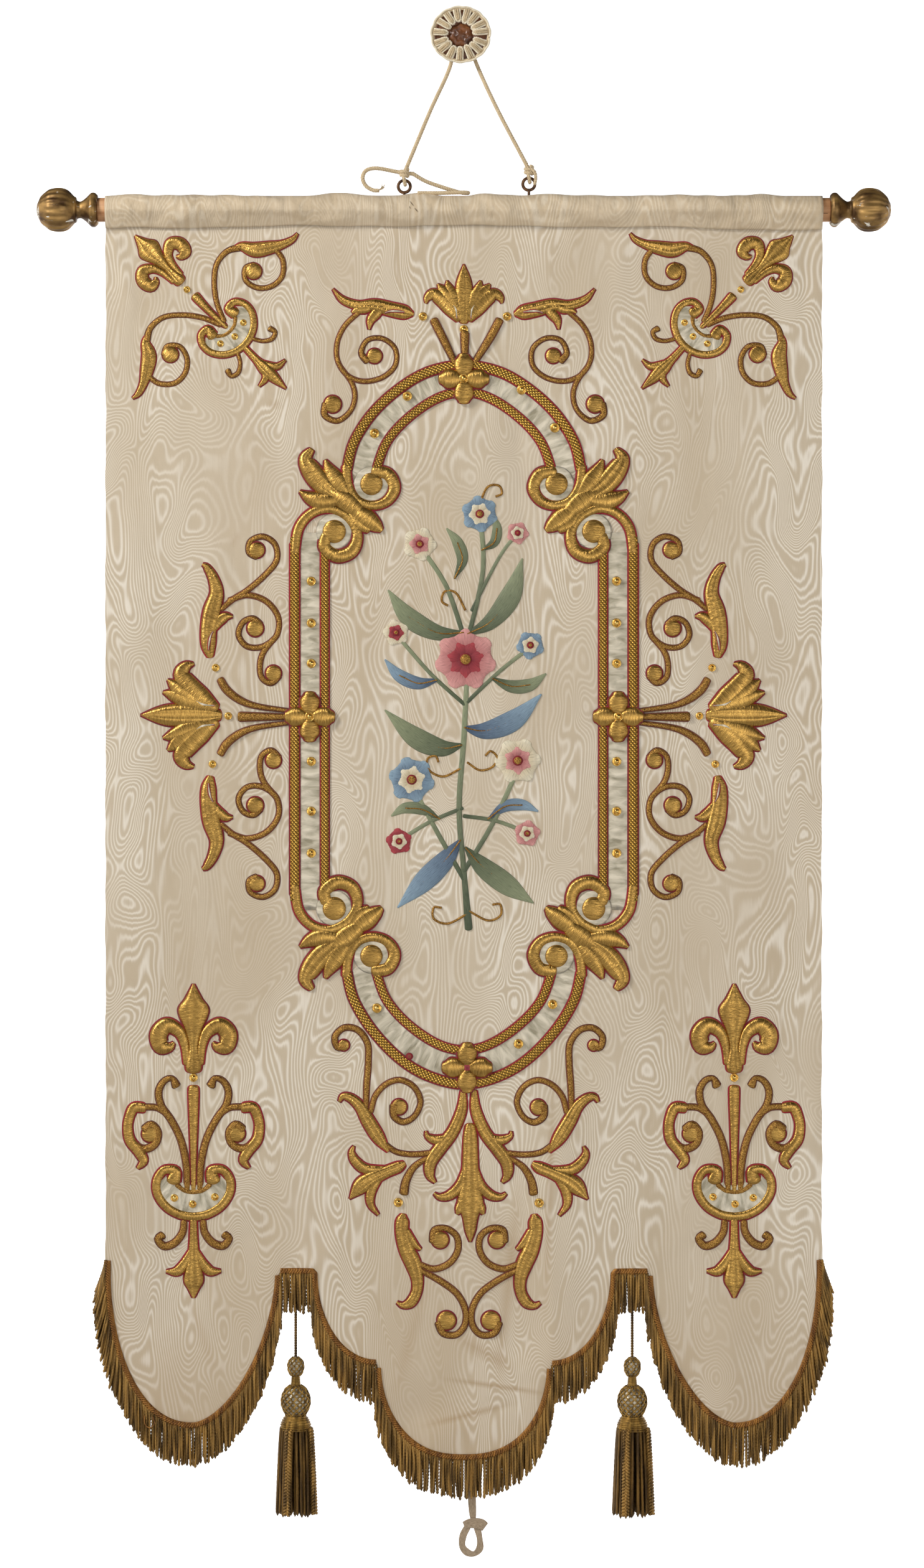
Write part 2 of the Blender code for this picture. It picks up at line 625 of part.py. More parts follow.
def make_boss(group, walnut, gimp):
    """The wall boss, turned about Y, and the gimp rosette sewn round its face."""
    face = (NECK_LENGTH + BOSS_DEPTH) / MM
    profile = (
        Turn(0.0, 0.0),
        Turn(0.0, BOSS_RADIUS - 0.012),
        Turn(3.0, BOSS_RADIUS - 0.012),
        Turn(4.5, NECK_RADIUS),
        Turn(NECK_LENGTH / MM - 1.0, NECK_RADIUS),
        Turn(NECK_LENGTH / MM, BOSS_RADIUS - 0.002),
        Turn(face - 3.0, BOSS_RADIUS),
        Turn(face, BOSS_RADIUS - 0.006),
        Turn(face, 0.0),
    )
    boss = turned("wall_boss", profile[::-1], 16, walnut, group)
    boss.rotation_euler = (math.pi / 2, 0, 0)
    ring = torus(ROSETTE_RADIUS, ROSETTE_WIDTH, (0, 0, 0), ROSETTE_LOOPS * 2, 5)
    for vert in ring.vertices:
        bump = 0.5 + 0.5 * math.cos(ROSETTE_LOOPS * math.atan2(vert.co.z, vert.co.x))
        outside = math.hypot(vert.co.x, vert.co.z) > ROSETTE_RADIUS
        stretch = 1 + 0.05 * bump if outside else 1 - 0.03 * bump
        vert.co.x *= stretch
        vert.co.z *= stretch * 0.94
        vert.co.y = (vert.co.y - ROSETTE_WIDTH) * (0.24 + 0.07 * bump) - face * MM - FIT_GAP
    add("gimp_rosette", ring, gimp, group)


def blend(points, t):
    """The Catmull-Rom point a share of the way between the middle two of four points."""
    return tuple(
        0.5 * (2 * q + (r - p) * t + (2 * p - 5 * q + 4 * r - s) * t * t + (3 * q - p - 3 * r + s) * t**3)
        for p, q, r, s in zip(*points)
    )


def smoothed(points, step):
    """A smooth line through the points, with about one point for each step."""
    ends = [points[0], *points, points[-1]]
    line = []
    for four in zip(ends, ends[1:], ends[2:], ends[3:]):
        count = max(1, round(math.dist(four[1], four[2]) / step))
        line += [blend(four, i / count) for i in range(count)]
    return line + [tuple(points[-1])]


def tube(name, route, radius, finish, group):
    """A cord's plain solid along a route of points."""
    data = bpy.data.curves.new(name, "CURVE")
    data.dimensions = "3D"
    data.bevel_depth = radius
    data.bevel_resolution = 1
    data.use_fill_caps = True
    spline = data.splines.new("POLY")
    spline.points.add(len(route) - 1)
    for point, place in zip(spline.points, route):
        point.co = (*place, 1.0)
    obj = bpy.data.objects.new(name + "_curve", data)
    group.objects.link(obj)
    add(name, welded(evaluated_mesh(obj)), finish, group)


def make_cords(group, cotton):
    """The hanging cord over the boss's neck, a knot at each eye, and the two loose tails."""
    ride = NECK_RADIUS + CORD_RADIUS + FIT_GAP
    neck_y = -NECK_LENGTH * 0.62
    left, right = Vector((EYE_LEFT[0], 0, EYE_LEFT[1])), Vector((EYE_RIGHT[0], 0, EYE_RIGHT[1]))
    knot_rise = EYE_RADIUS + 0.0090
    half_y = (PLANE_Y + neck_y) / 2 - 0.004
    turns = [math.radians(angle) for angle in (-62, -20, 20, 58)]
    route = [
        (left.x + 0.0035, PLANE_Y, left.z + knot_rise + 0.0085),
        (left.x * 0.54, half_y, left.z * 0.50),
        (-0.0135, neck_y, -0.0375),
        *[(ride * math.sin(turn), neck_y, ride * math.cos(turn)) for turn in turns],
        (0.0205, neck_y, -0.0355),
        (right.x * 0.54, half_y, right.z * 0.50),
        (right.x - 0.0035, PLANE_Y, right.z + knot_rise + 0.0085),
    ]
    tube("hanging_cord", smoothed(route, 0.023), CORD_RADIUS, cotton, group)
    for name, eye in (("knot_left", left), ("knot_right", right)):
        shape = bmesh.new()
        bmesh.ops.create_uvsphere(shape, u_segments=8, v_segments=5, radius=1.0)
        for vert in shape.verts:
            twist = 1 + 0.10 * math.cos(2 * math.atan2(vert.co.y, vert.co.x) + 3 * vert.co.z)
            vert.co = Vector((vert.co.x * 0.0066 * twist, vert.co.y * 0.0062 * twist, vert.co.z * 0.0058))
            vert.co += Vector((eye.x, PLANE_Y, eye.z + knot_rise))
        loop = torus(0.0060, CORD_RADIUS - 0.0004, (eye.x, PLANE_Y, eye.z + EYE_RADIUS), 8, 6, (1, 0, 0))
        add(name, boolean(mesh_of(shape, name), [loop], "UNION", group), cotton, group)

    top = POLE_Z + SLEEVE_RADIUS + SLEEVE_THICK / 2 + CORD_RADIUS + 0.0005
    knot = Vector((left.x, PLANE_Y, left.z + knot_rise))
    curl = [
        (knot.x - 0.0105, PLANE_Y, knot.z + 0.002),
        (-0.1060, PLANE_Y - 0.003, -0.1715),
        (-0.1195, PLANE_Y - 0.004, -0.1745),
        (-0.1240, PLANE_Y - 0.004, -0.1840),
        (-0.1200, PLANE_Y - 0.002, -0.1945),
        (-0.1090, PLANE_Y, top + 0.0012),
        (-0.1010, PLANE_Y, top),
    ]
    tube("cord_tail_left", smoothed(curl, 0.0085), CORD_RADIUS, cotton, group)
    doubled = [
        (knot.x + 0.0108, PLANE_Y + 0.001, knot.z - 0.0005),
        (-0.0440, PLANE_Y + 0.005, -0.1825),
        (-0.0200, PLANE_Y + 0.0065, top),
        (0.0050, PLANE_Y + 0.0050, top),
        (0.0120, PLANE_Y, top),
        (0.0050, PLANE_Y - 0.0050, top),
        (-0.0200, PLANE_Y - 0.0065, top),
        (-0.0540, PLANE_Y - 0.0065, top),
    ]
    tube("cord_tail_right", smoothed(doubled, 0.010), CORD_RADIUS, cotton, group)


RIDGE = ((-1.0, 0.0), (1.0, 0.0), (0.0, 0.5))
LEAF = ((-1.0, 0.0), (1.0, 0.0), (0.0, 0.24))
SLAB = ((-1.0, 0.0), (1.0, 0.0), (1.0, 0.21), (-1.0, 0.21))


def section_curve(section):
    """The closed outline that is swept along a stroke."""
    data = bpy.data.curves.new("section", "CURVE")
    data.dimensions = "2D"
    spline = data.splines.new("POLY")
    spline.points.add(len(section) - 1)
    for point, (across, up) in zip(spline.points, section):
        point.co = (across, up, 0.0, 1.0)
    spline.use_cyclic_u = True
    obj = bpy.data.objects.new("section", data)
    bpy.context.scene.collection.objects.link(obj)
    return obj


def stroke_mesh(ways, section, level=0.0):
    """A padded stroke of goldwork with its flat back at the given height, in chart millimetres."""
    outline = section_curve(section)
    data = bpy.data.curves.new("stroke", "CURVE")
    data.dimensions = "3D"
    data.twist_mode = "Z_UP"
    data.bevel_mode = "OBJECT"
    data.bevel_object = outline
    data.use_fill_caps = True
    spline = data.splines.new("POLY")
    spline.points.add(len(ways) - 1)
    for point, way in zip(spline.points, ways):
        point.co = (way.across, way.up, level, 1.0)
        point.radius = way.half
    obj = bpy.data.objects.new("stroke", data)
    bpy.context.scene.collection.objects.link(obj)
    mesh = welded(evaluated_mesh(obj), 0.01)
    bpy.data.objects.remove(outline, do_unlink=True)
    return mesh


def boss_mesh(boss, level=0.0):
    height = boss.radius * 0.42
    centre = (boss.across, boss.up, height / 2 + level)
    return cylinder(boss.radius, height, centre, (0, 0, 1), 6, boss.radius * 0.5)


class Placing(NamedTuple):
    """Where a motif goes on the chart: its origin, its turn in degrees, its size and any mirroring."""

    u: float = 0.0
    v: float = 0.0
    turn: float = 0.0
    size: float = 1.0
    flip: int = 1
    rise: int = 1

    def chart(self, across, up):
        across, up = across * self.size * self.flip, up * self.size * self.rise
        angle = math.radians(self.turn)
        return (
            self.u + across * math.cos(angle) - up * math.sin(angle),
            self.v + across * math.sin(angle) + up * math.cos(angle),
        )


def relief(rows, bosses=(), section=RIDGE):
    """The meshes of a motif's strokes and bosses, each a hair above the last so that no backs meet."""
    meshes = [stroke_mesh(row, section, 0.031 * (i % 11)) for i, row in enumerate(rows)]
    return meshes + [boss_mesh(boss, 0.047 * (1 + i % 7)) for i, boss in enumerate(bosses)]


def sides(rows):
    """Strokes together with their mirror images."""
    other = tuple(tuple(Way(-way.across, way.up, way.half) for way in row) for row in rows)
    return tuple(rows) + other


def boss_sides(bosses):
    return tuple(bosses) + tuple(Boss(-boss.across, boss.up, boss.radius) for boss in bosses)


def laid_on_cloth(name, pieces, placing, finish, group, lift=GOLD_GAP):
    """Joins a motif's meshes into one solid and lays it on the cloth's folds."""
    mesh = pieces[0]
    if len(pieces) > 1:
        mesh = boolean(pieces[0], pieces[1:], "UNION", group, True)
    for vert in mesh.vertices:
        u, v = placing.chart(vert.co.x, vert.co.y)
        x, z = world(u, v)
        vert.co = Vector((x, front_y(u, v) - lift - vert.co.z * placing.size * MM, z))
    add(name, welded(mesh, 1.2e-5), finish, group)


def arch(half):
    """A whole arch of the frame from its half, right foot to left."""
    return tuple(Way(-way.across, way.up, way.half) for way in half[:0:-1]) + tuple(half)


def lobed_disc(boss, lobes, notch, height, level):
    """A domed disc of round lobes, the first one to the right."""
    sides = lobes * (4 if lobes < 5 else 2)
    centre = (boss.across, boss.up, height / 2 + level)
    disc = cylinder(boss.radius, height, centre, (0, 0, 1), sides, boss.radius * 0.72)
    for vert in disc.vertices:
        away = Vector((vert.co.x - boss.across, vert.co.y - boss.up))
        valley = 0.5 - 0.5 * math.cos(lobes * math.atan2(away.y, away.x))
        vert.co.x -= away.x * notch * valley**2
        vert.co.y -= away.y * notch * valley**2
    return disc


def placed(ways, placing):
    return tuple(Way(*placing.chart(way.across, way.up), way.half * placing.size) for way in ways)


def placed_bosses(bosses, placing):
    return tuple(Boss(*placing.chart(boss.across, boss.up), boss.radius) for boss in bosses)


def frame_rows():
    """The strokes of the gold frame and of the stems that spring from it."""
    rows = []
    for half, rise in ((ARCH_TOP, 1), (ARCH_BOTTOM, -1)):
        rows.append(placed(arch(half + ARCH_VOLUTE), Placing(rise=rise)))
        rows.append(placed(arch(ARCH_INNER), Placing(rise=rise)))
    for flip in (1, -1):
        upper = placed(BAND_VOLUTE, Placing(flip=flip))
        lower = placed(BAND_VOLUTE, Placing(v=5, flip=flip, rise=-1))
        rows.append(lower[::-1] + (Way(-BAND_OUTER_U * flip, 0, 5.5),) + upper)
        rows.append(tuple(Way(-BAND_INNER_U * flip, v, 4.5) for v in (214, 107, 0, -104, -209)))
        rows += [placed(stem, Placing(v=SPRAY_MIDDLE_V, flip=flip)) for stem in SIDE_STEMS]
        for rise, v in ((1, 0), (-1, 5)):
            rows += [placed(row, Placing(v=v, flip=flip, rise=rise)) for row in ACANTHUS]
    return rows + list(TOP_STEMS)


def frame_bosses():
    bosses = []
    for flip in (1, -1):
        bosses += placed_bosses([ARCH_BOSS, BAND_BOSS], Placing(flip=flip))
        bosses += placed_bosses([ARCH_BOSS, BAND_BOSS], Placing(v=3, flip=flip, rise=-1))
    return bosses


def make_frame(group, gold, satin):
    """The gold frame as one applied piece, with satin bands under its two rows of braid."""
    middle = (BAND_OUTER_U + BAND_INNER_U) / 2
    flowers = (
        Boss(0, 433, QUATREFOIL_RADIUS),
        Boss(4, -438, QUATREFOIL_RADIUS),
        Boss(-middle, SPRAY_MIDDLE_V, QUATREFOIL_RADIUS),
        Boss(middle, SPRAY_MIDDLE_V, QUATREFOIL_RADIUS),
    )
    meshes = relief(frame_rows(), frame_bosses())
    meshes += [lobed_disc(flower, 4, 0.45, 4.2, 0.9 + 0.05 * i) for i, flower in enumerate(flowers)]
    laid_on_cloth("gold_frame", meshes, Placing(), gold, group, SATIN_GAP + SATIN_THICK + FIT_GAP)

    half = (BAND_OUTER_U - BAND_INNER_U) / 2 - 1.0
    flat = SATIN_THICK / MM / half
    slab = ((-1.0, 0.0), (1.0, 0.0), (1.0, flat), (-1.0, flat))
    bands = {
        "satin_top": placed(arch(ARCH_SATIN), Placing()),
        "satin_bottom": placed(arch(ARCH_SATIN), Placing(v=-2, rise=-1)),
        "satin_left": [Way(-middle, v, half) for v in (-228, -110, 0, 110, 228)],
        "satin_right": [Way(middle, v, half) for v in (-228, -110, 0, 110, 228)],
    }
    for name, ways in bands.items():
        laid_on_cloth(name, [stroke_mesh(ways, slab)], Placing(), satin, group, SATIN_GAP)


def make_motifs(group, gold):
    """The goldwork outside the frame: its two halves mirror each other, each motif a piece of its own."""

    def applied(name, rows, placing, bosses=()):
        laid_on_cloth(name, relief(rows, bosses), placing, gold, group)

    for side, flip in (("left", 1), ("right", -1)):
        applied("fleur_upper_" + side, FLEUR, Placing(-359 * flip, 557, 45 * flip, 0.75, flip))
        applied("fleur_lower_" + side, FLEUR, Placing(-342 * flip, -440, 0, 1.0, flip))
        rows = CUP + SMALL_FLEUR + UPPER_BAR + sides(UPPER_SCROLL + CORNER_SCROLL)
        upper_cup = Placing(-292 * flip, 490, 45 * flip, 0.8, flip)
        applied("cup_upper_" + side, rows, upper_cup, boss_sides([CORNER_SCROLL_BOSS]))
        rows = CUP + SMALL_FLEUR + LOWER_BAR + sides(LOWER_SCROLL + LOWER_STEM)
        lower_cup = Placing(-342 * flip, -602, 0, 1.0, flip)
        applied("cup_lower_" + side, rows, lower_cup, boss_sides([LOWER_STEM_BOSS]))
        for where, rise in (("upper", 1), ("lower", -1)):
            beside = Placing(v=SPRAY_MIDDLE_V, flip=flip, rise=rise)
            applied(f"side_spray_{where}_{side}", SIDE_SPRAY, beside, SIDE_SPRAY_BOSSES)
        applied("palmette_" + side, PALMETTE, Placing(-311 * flip, SPRAY_MIDDLE_V + 2, 90 * flip, 1.0, flip))
        applied("top_spray_" + side, TOP_SPRAY, Placing(flip=flip), TOP_SPRAY_BOSSES)
        below = Placing(6, 0, flip=flip)
        applied("bottom_spray_" + side, BOTTOM_SPRAY, below, BOTTOM_SPRAY_BOSSES)
        applied("bottom_scroll_" + side, BOTTOM_SCROLL, below, BOTTOM_SCROLL_BOSSES)
        applied("side_fleur_" + side, SIDE_FLEUR, below)
    applied("palmette_top", PALMETTE, Placing(0, 506, 0, 0.74))
    applied("pendant", PENDANT, Placing(8, 0))


def make_flower_spray(group, thread):
    """The embroidered flowers inside the frame: scalloped round blooms, stems and leaves."""
    meshes = [stroke_mesh(row, LEAF, 0.02 * i) for i, row in enumerate(SPRAY_STEMS + SPRAY_LEAVES)]
    for i, bloom in enumerate(SPRAY_BLOOMS):
        low = 0.02 * (i + len(meshes))
        meshes.append(lobed_disc(bloom, 6, 0.2, 2.4, low))
        heart = (bloom.across, bloom.up, low + 2.0)
        meshes.append(cylinder(bloom.radius * 0.34, 3.4, heart, (0, 0, 1), 6, bloom.radius * 0.2))
    laid_on_cloth("flower_spray", meshes, Placing(), thread, group)


def hem_stations(start, end):
    """Points along the hem, one strand's width apart, with the hem's inward normal at each."""
    count = round((end - start) / STRAND_PITCH)
    columns = [start + (end - start) * i / count for i in range(count + 1)]
    points = [(u, hem_v(u)) for u in columns]
    stations = []
    for i, (u, v) in enumerate(points):
        before, after = points[max(0, i - 1)], points[min(count, i + 1)]
        along = Vector((after[0] - before[0], after[1] - before[1])).normalized()
        stations.append((u, v, Vector((-along.y, along.x))))
    return stations


def splay(u):
    """How far a strand's end swings outwards at the banner's edges."""
    share = max(0.0, (abs(u) - HALF_WIDTH + 30) / 30)
    return math.copysign(EDGE_SPLAY * share**1.5, u)


def make_fringe(group, bullion):
    """Gimp along the hem's face with strands hanging from its lower edge, in five lengths."""
    edges = (-HALF_WIDTH, -NOTCH_OUTER, -STEP, STEP, NOTCH_OUTER, HALF_WIDTH)
    names = ("outer_left", "inner_left", "centre", "inner_right", "outer_right")
    for name, start, end in zip(names, edges, edges[1:]):
        stations = hem_stations(start + GIMP_BREAK, end - GIMP_BREAK)
        shape = bmesh.new()
        rings = []
        for u, v, normal in stations:
            inner_u, inner_v = u + normal.x * GIMP_INSIDE, v + normal.y * GIMP_INSIDE
            outer_u, outer_v = u - normal.x * GIMP_OUTSIDE, v - normal.y * GIMP_OUTSIDE
            back = min(front_y(inner_u, inner_v), front_y(u, v)) - GIMP_LIFT
            ring = []
            for pu, pv, y in (
                (inner_u, inner_v, back),
                (outer_u, outer_v, back),
                (outer_u, outer_v, back - GIMP_THICK),
                (inner_u, inner_v, back - GIMP_THICK),
            ):
                x, z = world(pu, pv)
                ring.append(shape.verts.new((x, y, z)))
            rings.append(ring)
        roots = []
        for i, (ring, after) in enumerate(zip(rings, rings[1:])):
            for side in range(4):
                other = (side + 1) % 4
                face = shape.faces.new((ring[side], ring[other], after[other], after[side]))
                if side == 1:
                    roots.append((face, (stations[i][0] + stations[i + 1][0]) / 2))
        shape.faces.new(rings[0])
        shape.faces.new(rings[-1][::-1])
        made = bmesh.ops.extrude_discrete_faces(shape, faces=[face for face, _ in roots])
        for face, (_, u) in zip(made["faces"], roots):
            centre = face.calc_center_median()
            x, z = world(u + splay(u), hem_v(u) - STRAND_LENGTH)
            for vert in face.verts:
                vert.co.x = x + (vert.co.x - centre.x) * STRAND_TAPER
                vert.co.y = centre.y + (vert.co.y - centre.y) * 1.1
                vert.co.z = z
        bmesh.ops.recalc_face_normals(shape, faces=shape.faces)
        add("fringe_" + name, mesh_of(shape, "fringe_" + name), bullion, group)


TASSEL_PROFILE = (
    Turn(-702.0, 0.0),
    Turn(-702.0, 0.0020),
    Turn(-806.0, 0.0020),
    Turn(-811.0, 0.0088),
    Turn(-818.0, 0.0098),
    Turn(-825.0, 0.0082),
    Turn(-829.0, 0.0050),
    Turn(-841.0, 0.0062),
    Turn(-846.0, 0.0130),
    Turn(-855.0, 0.0172),
    Turn(-867.0, 0.0176),
    Turn(-877.0, 0.0132),
    Turn(-881.0, 0.0112),
    Turn(-885.0, 0.0172),
    Turn(-896.0, 0.0188),
    Turn(-896.0, 0.0),
)


def make_tassels(group, bullion):
    """A turned head on a cord and a skirt of strands, hung in each notch of the hem."""
    for name, side in (("left", -1), ("right", 1)):
        x, z = world(side * TASSEL_U, 0)
        y = front_y(side * TASSEL_U, NOTCH_V) + CLOTH_THICK + 0.0010
        head = turned("tassel_head_" + name, TASSEL_PROFILE, 8, bullion, group)
        head.location = (x, y, z)
        shape = bmesh.new()
        bmesh.ops.create_cone(
            shape,
            cap_ends=True,
            segments=TASSEL_STRANDS,
            radius1=TASSEL_TOP_RADIUS,
            radius2=TASSEL_TOP_RADIUS - 0.002,
            depth=0.004,
        )
        bottom = min(shape.faces, key=lambda face: face.calc_center_median().z)
        width = TASSEL_TOP_RADIUS - TASSEL_CORE_RADIUS
        ring = bmesh.ops.inset_region(shape, faces=[bottom], thickness=width)["faces"]
        strands = bmesh.ops.extrude_discrete_faces(shape, faces=ring + [bottom])["faces"]
        for face in strands:
            centre = face.calc_center_median()
            reach = Vector((centre.x, centre.y)).length
            if reach < 1e-6:
                for vert in face.verts:
                    vert.co.z -= TASSEL_DROP - 0.010
                    vert.co.x *= 0.96
                    vert.co.y *= 0.96
                continue
            out = TASSEL_END_RADIUS / TASSEL_TOP_RADIUS
            wave = 0.0015 * math.sin(5 * math.atan2(centre.y, centre.x))
            for vert in face.verts:
                place = centre + (vert.co - centre) * STRAND_TAPER
                vert.co = Vector((place.x * out, place.y * out, place.z - TASSEL_DROP + wave))
        bmesh.ops.recalc_face_normals(shape, faces=shape.faces)
        skirt = add("tassel_skirt_" + name, mesh_of(shape, "skirt"), bullion, group)
        skirt.location = (x, y, z - 0.896 - FIT_GAP - 0.002)


TAPE = (
    (Way(9, -930, 5.2), Way(10, -975, 5.2), Way(12, -1018, 4.2)),
    (Way(12, -1011, 3.2), Way(-1, -1023, 4.6), Way(-4, -1042, 4.8), Way(9, -1055, 5), Way(23, -1045, 5),
     Way(24, -1027, 4.6), Way(13, -1011, 3.2)),
    (Way(10, -1012, 3.2), Way(24, -1019, 4.6), Way(33, -1036, 4.8)),
)


def make_tape(group, cotton):
    pieces = [stroke_mesh(row, SLAB, 0.05 * i) for i, row in enumerate(TAPE)]
    mesh = boolean(pieces[0], pieces[1:], "UNION", group, True)
    for vert in mesh.vertices:
        x, z = world(vert.co.x, vert.co.y)
        vert.co = Vector((x, PLANE_Y + 0.0075 - vert.co.z * MM, z))
    add("tie_tape", welded(mesh, 1.2e-5), cotton, group)


def main():
    clear_scene()
    banner = collection("church_banner")
    silk = material("watered_silk", (0.74, 0.67, 0.57), 0.55)
    heading = material("heading_silk", (0.62, 0.53, 0.40), 0.6)
    gold = material("goldwork", (0.55, 0.38, 0.11), 0.35, 0.8)
    satin = material("pale_satin", (0.66, 0.67, 0.61), 0.4)
    thread = material("flower_thread", (0.45, 0.47, 0.45), 0.6)
    wood = material("pole_wood", (0.62, 0.42, 0.25), 0.6)
    gilt = material("old_gilding", (0.30, 0.20, 0.08), 0.4, 0.5)
    iron = material("dark_iron", (0.09, 0.07, 0.05), 0.5, 0.8)
    walnut = material("brown_wood", (0.22, 0.11, 0.05), 0.45)
    cotton = material("cotton_cord", (0.70, 0.58, 0.40), 0.8)
    bullion = material("bullion", (0.30, 0.20, 0.08), 0.5, 0.6)

    make_cloth(banner, silk)
    make_sleeve(banner, heading, shank_holes())
    make_pole(banner, wood)
    make_finials(banner, gilt)
    make_screw_eyes(banner, iron)
    make_boss(banner, walnut, cotton)
    make_cords(banner, cotton)
    make_frame(banner, gold, satin)
    make_motifs(banner, gold)
    make_flower_spray(banner, thread)
    make_fringe(banner, bullion)
    make_tassels(banner, bullion)
    make_tape(banner, cotton)


main()
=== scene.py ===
"""The looks of a hung church banner: watered silk with goldwork, bullion fringe, tassels and pole.

Chart sizes are millimetres from the centre of the gold frame: u across, v up, and h out from the
cloth. Everything else is in metres in the row's frame, with +Z up and the banner facing -Y.
"""

from __future__ import annotations

import functools
import logging
import math
from dataclasses import dataclass, replace
from enum import Enum
from typing import Iterable, Sequence, Union

import bpy
import numpy as np
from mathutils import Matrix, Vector


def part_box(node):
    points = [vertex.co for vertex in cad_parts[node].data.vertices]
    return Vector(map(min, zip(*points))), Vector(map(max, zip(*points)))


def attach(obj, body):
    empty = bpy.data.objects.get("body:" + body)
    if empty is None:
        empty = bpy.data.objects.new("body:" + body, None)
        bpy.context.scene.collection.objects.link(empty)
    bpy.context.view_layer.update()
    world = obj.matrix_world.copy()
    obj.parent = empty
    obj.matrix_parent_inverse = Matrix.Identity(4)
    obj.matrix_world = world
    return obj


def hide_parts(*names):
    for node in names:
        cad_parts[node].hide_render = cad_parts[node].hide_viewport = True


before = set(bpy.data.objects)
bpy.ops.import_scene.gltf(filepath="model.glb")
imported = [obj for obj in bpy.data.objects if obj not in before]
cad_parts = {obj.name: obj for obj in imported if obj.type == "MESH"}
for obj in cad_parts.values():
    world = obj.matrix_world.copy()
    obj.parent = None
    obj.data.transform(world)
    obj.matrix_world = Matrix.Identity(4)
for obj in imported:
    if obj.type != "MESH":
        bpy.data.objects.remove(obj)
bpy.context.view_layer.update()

Colour = tuple[float, float, float, float]
Row = tuple[float, float, float]
Point = tuple[float, float, float]

MM = 0.001
BODY = "root"

# Where the banner hangs
BANNER_X = 0.004
PLANE_Y = -0.030
CHART_Z = -0.8706
POLE_Z = -0.2236
LEFT_EYE = (-0.0714, PLANE_Y, -0.1939)
RIGHT_EYE = (0.0862, PLANE_Y, -0.1909)
WHITE = (1.0, 1.0, 1.0, 1.0)
PAPER = (0.93, 0.93, 0.93, 1.0)

log = logging.getLogger("banner")


def srgb(red: int, green: int, blue: int) -> Colour:
    """A screen colour, each part from 0 to 255, as linear light."""
    light = [((part / 255 + 0.055) / 1.055) ** 2.4 for part in (red, green, blue)]
    return (light[0], light[1], light[2], 1.0)


class Socket:
    """A shader socket whose operators add Math nodes to its material."""

    def __init__(self, shader: Shader, socket: bpy.types.NodeSocket) -> None:
        """Wraps a node's output socket."""
        self.shader = shader
        self.socket = socket

    def __add__(self, other: Number) -> Socket:
        """The sum."""
        return self.shader.maths("ADD", self, other)

    def __sub__(self, other: Number) -> Socket:
        """The difference."""
        return self.shader.maths("SUBTRACT", self, other)

    def __rsub__(self, other: Number) -> Socket:
        """The difference from a plain number."""
        return self.shader.maths("SUBTRACT", other, self)

    def __mul__(self, other: Number) -> Socket:
        """The product."""
        return self.shader.maths("MULTIPLY", self, other)

    def __pow__(self, other: Number) -> Socket:
        """The power."""
        return self.shader.maths("POWER", self, other)

    def __abs__(self) -> Socket:
        """The size without its sign."""
        return self.shader.maths("ABSOLUTE", self)

    def sine(self) -> Socket:
        """The sine of an angle in radians."""
        return self.shader.maths("SINE", self)

    def stepped(self, low: float, high: float) -> Socket:
        """The share of the way from low to high, kept from 0 to 1."""
        inputs = {"Value": self, "From Min": low, "From Max": high}
        return self.shader.node("ShaderNodeMapRange", {"clamp": True}, inputs)

    __radd__ = __add__
    __rmul__ = __mul__


Number = Union[Socket, float]


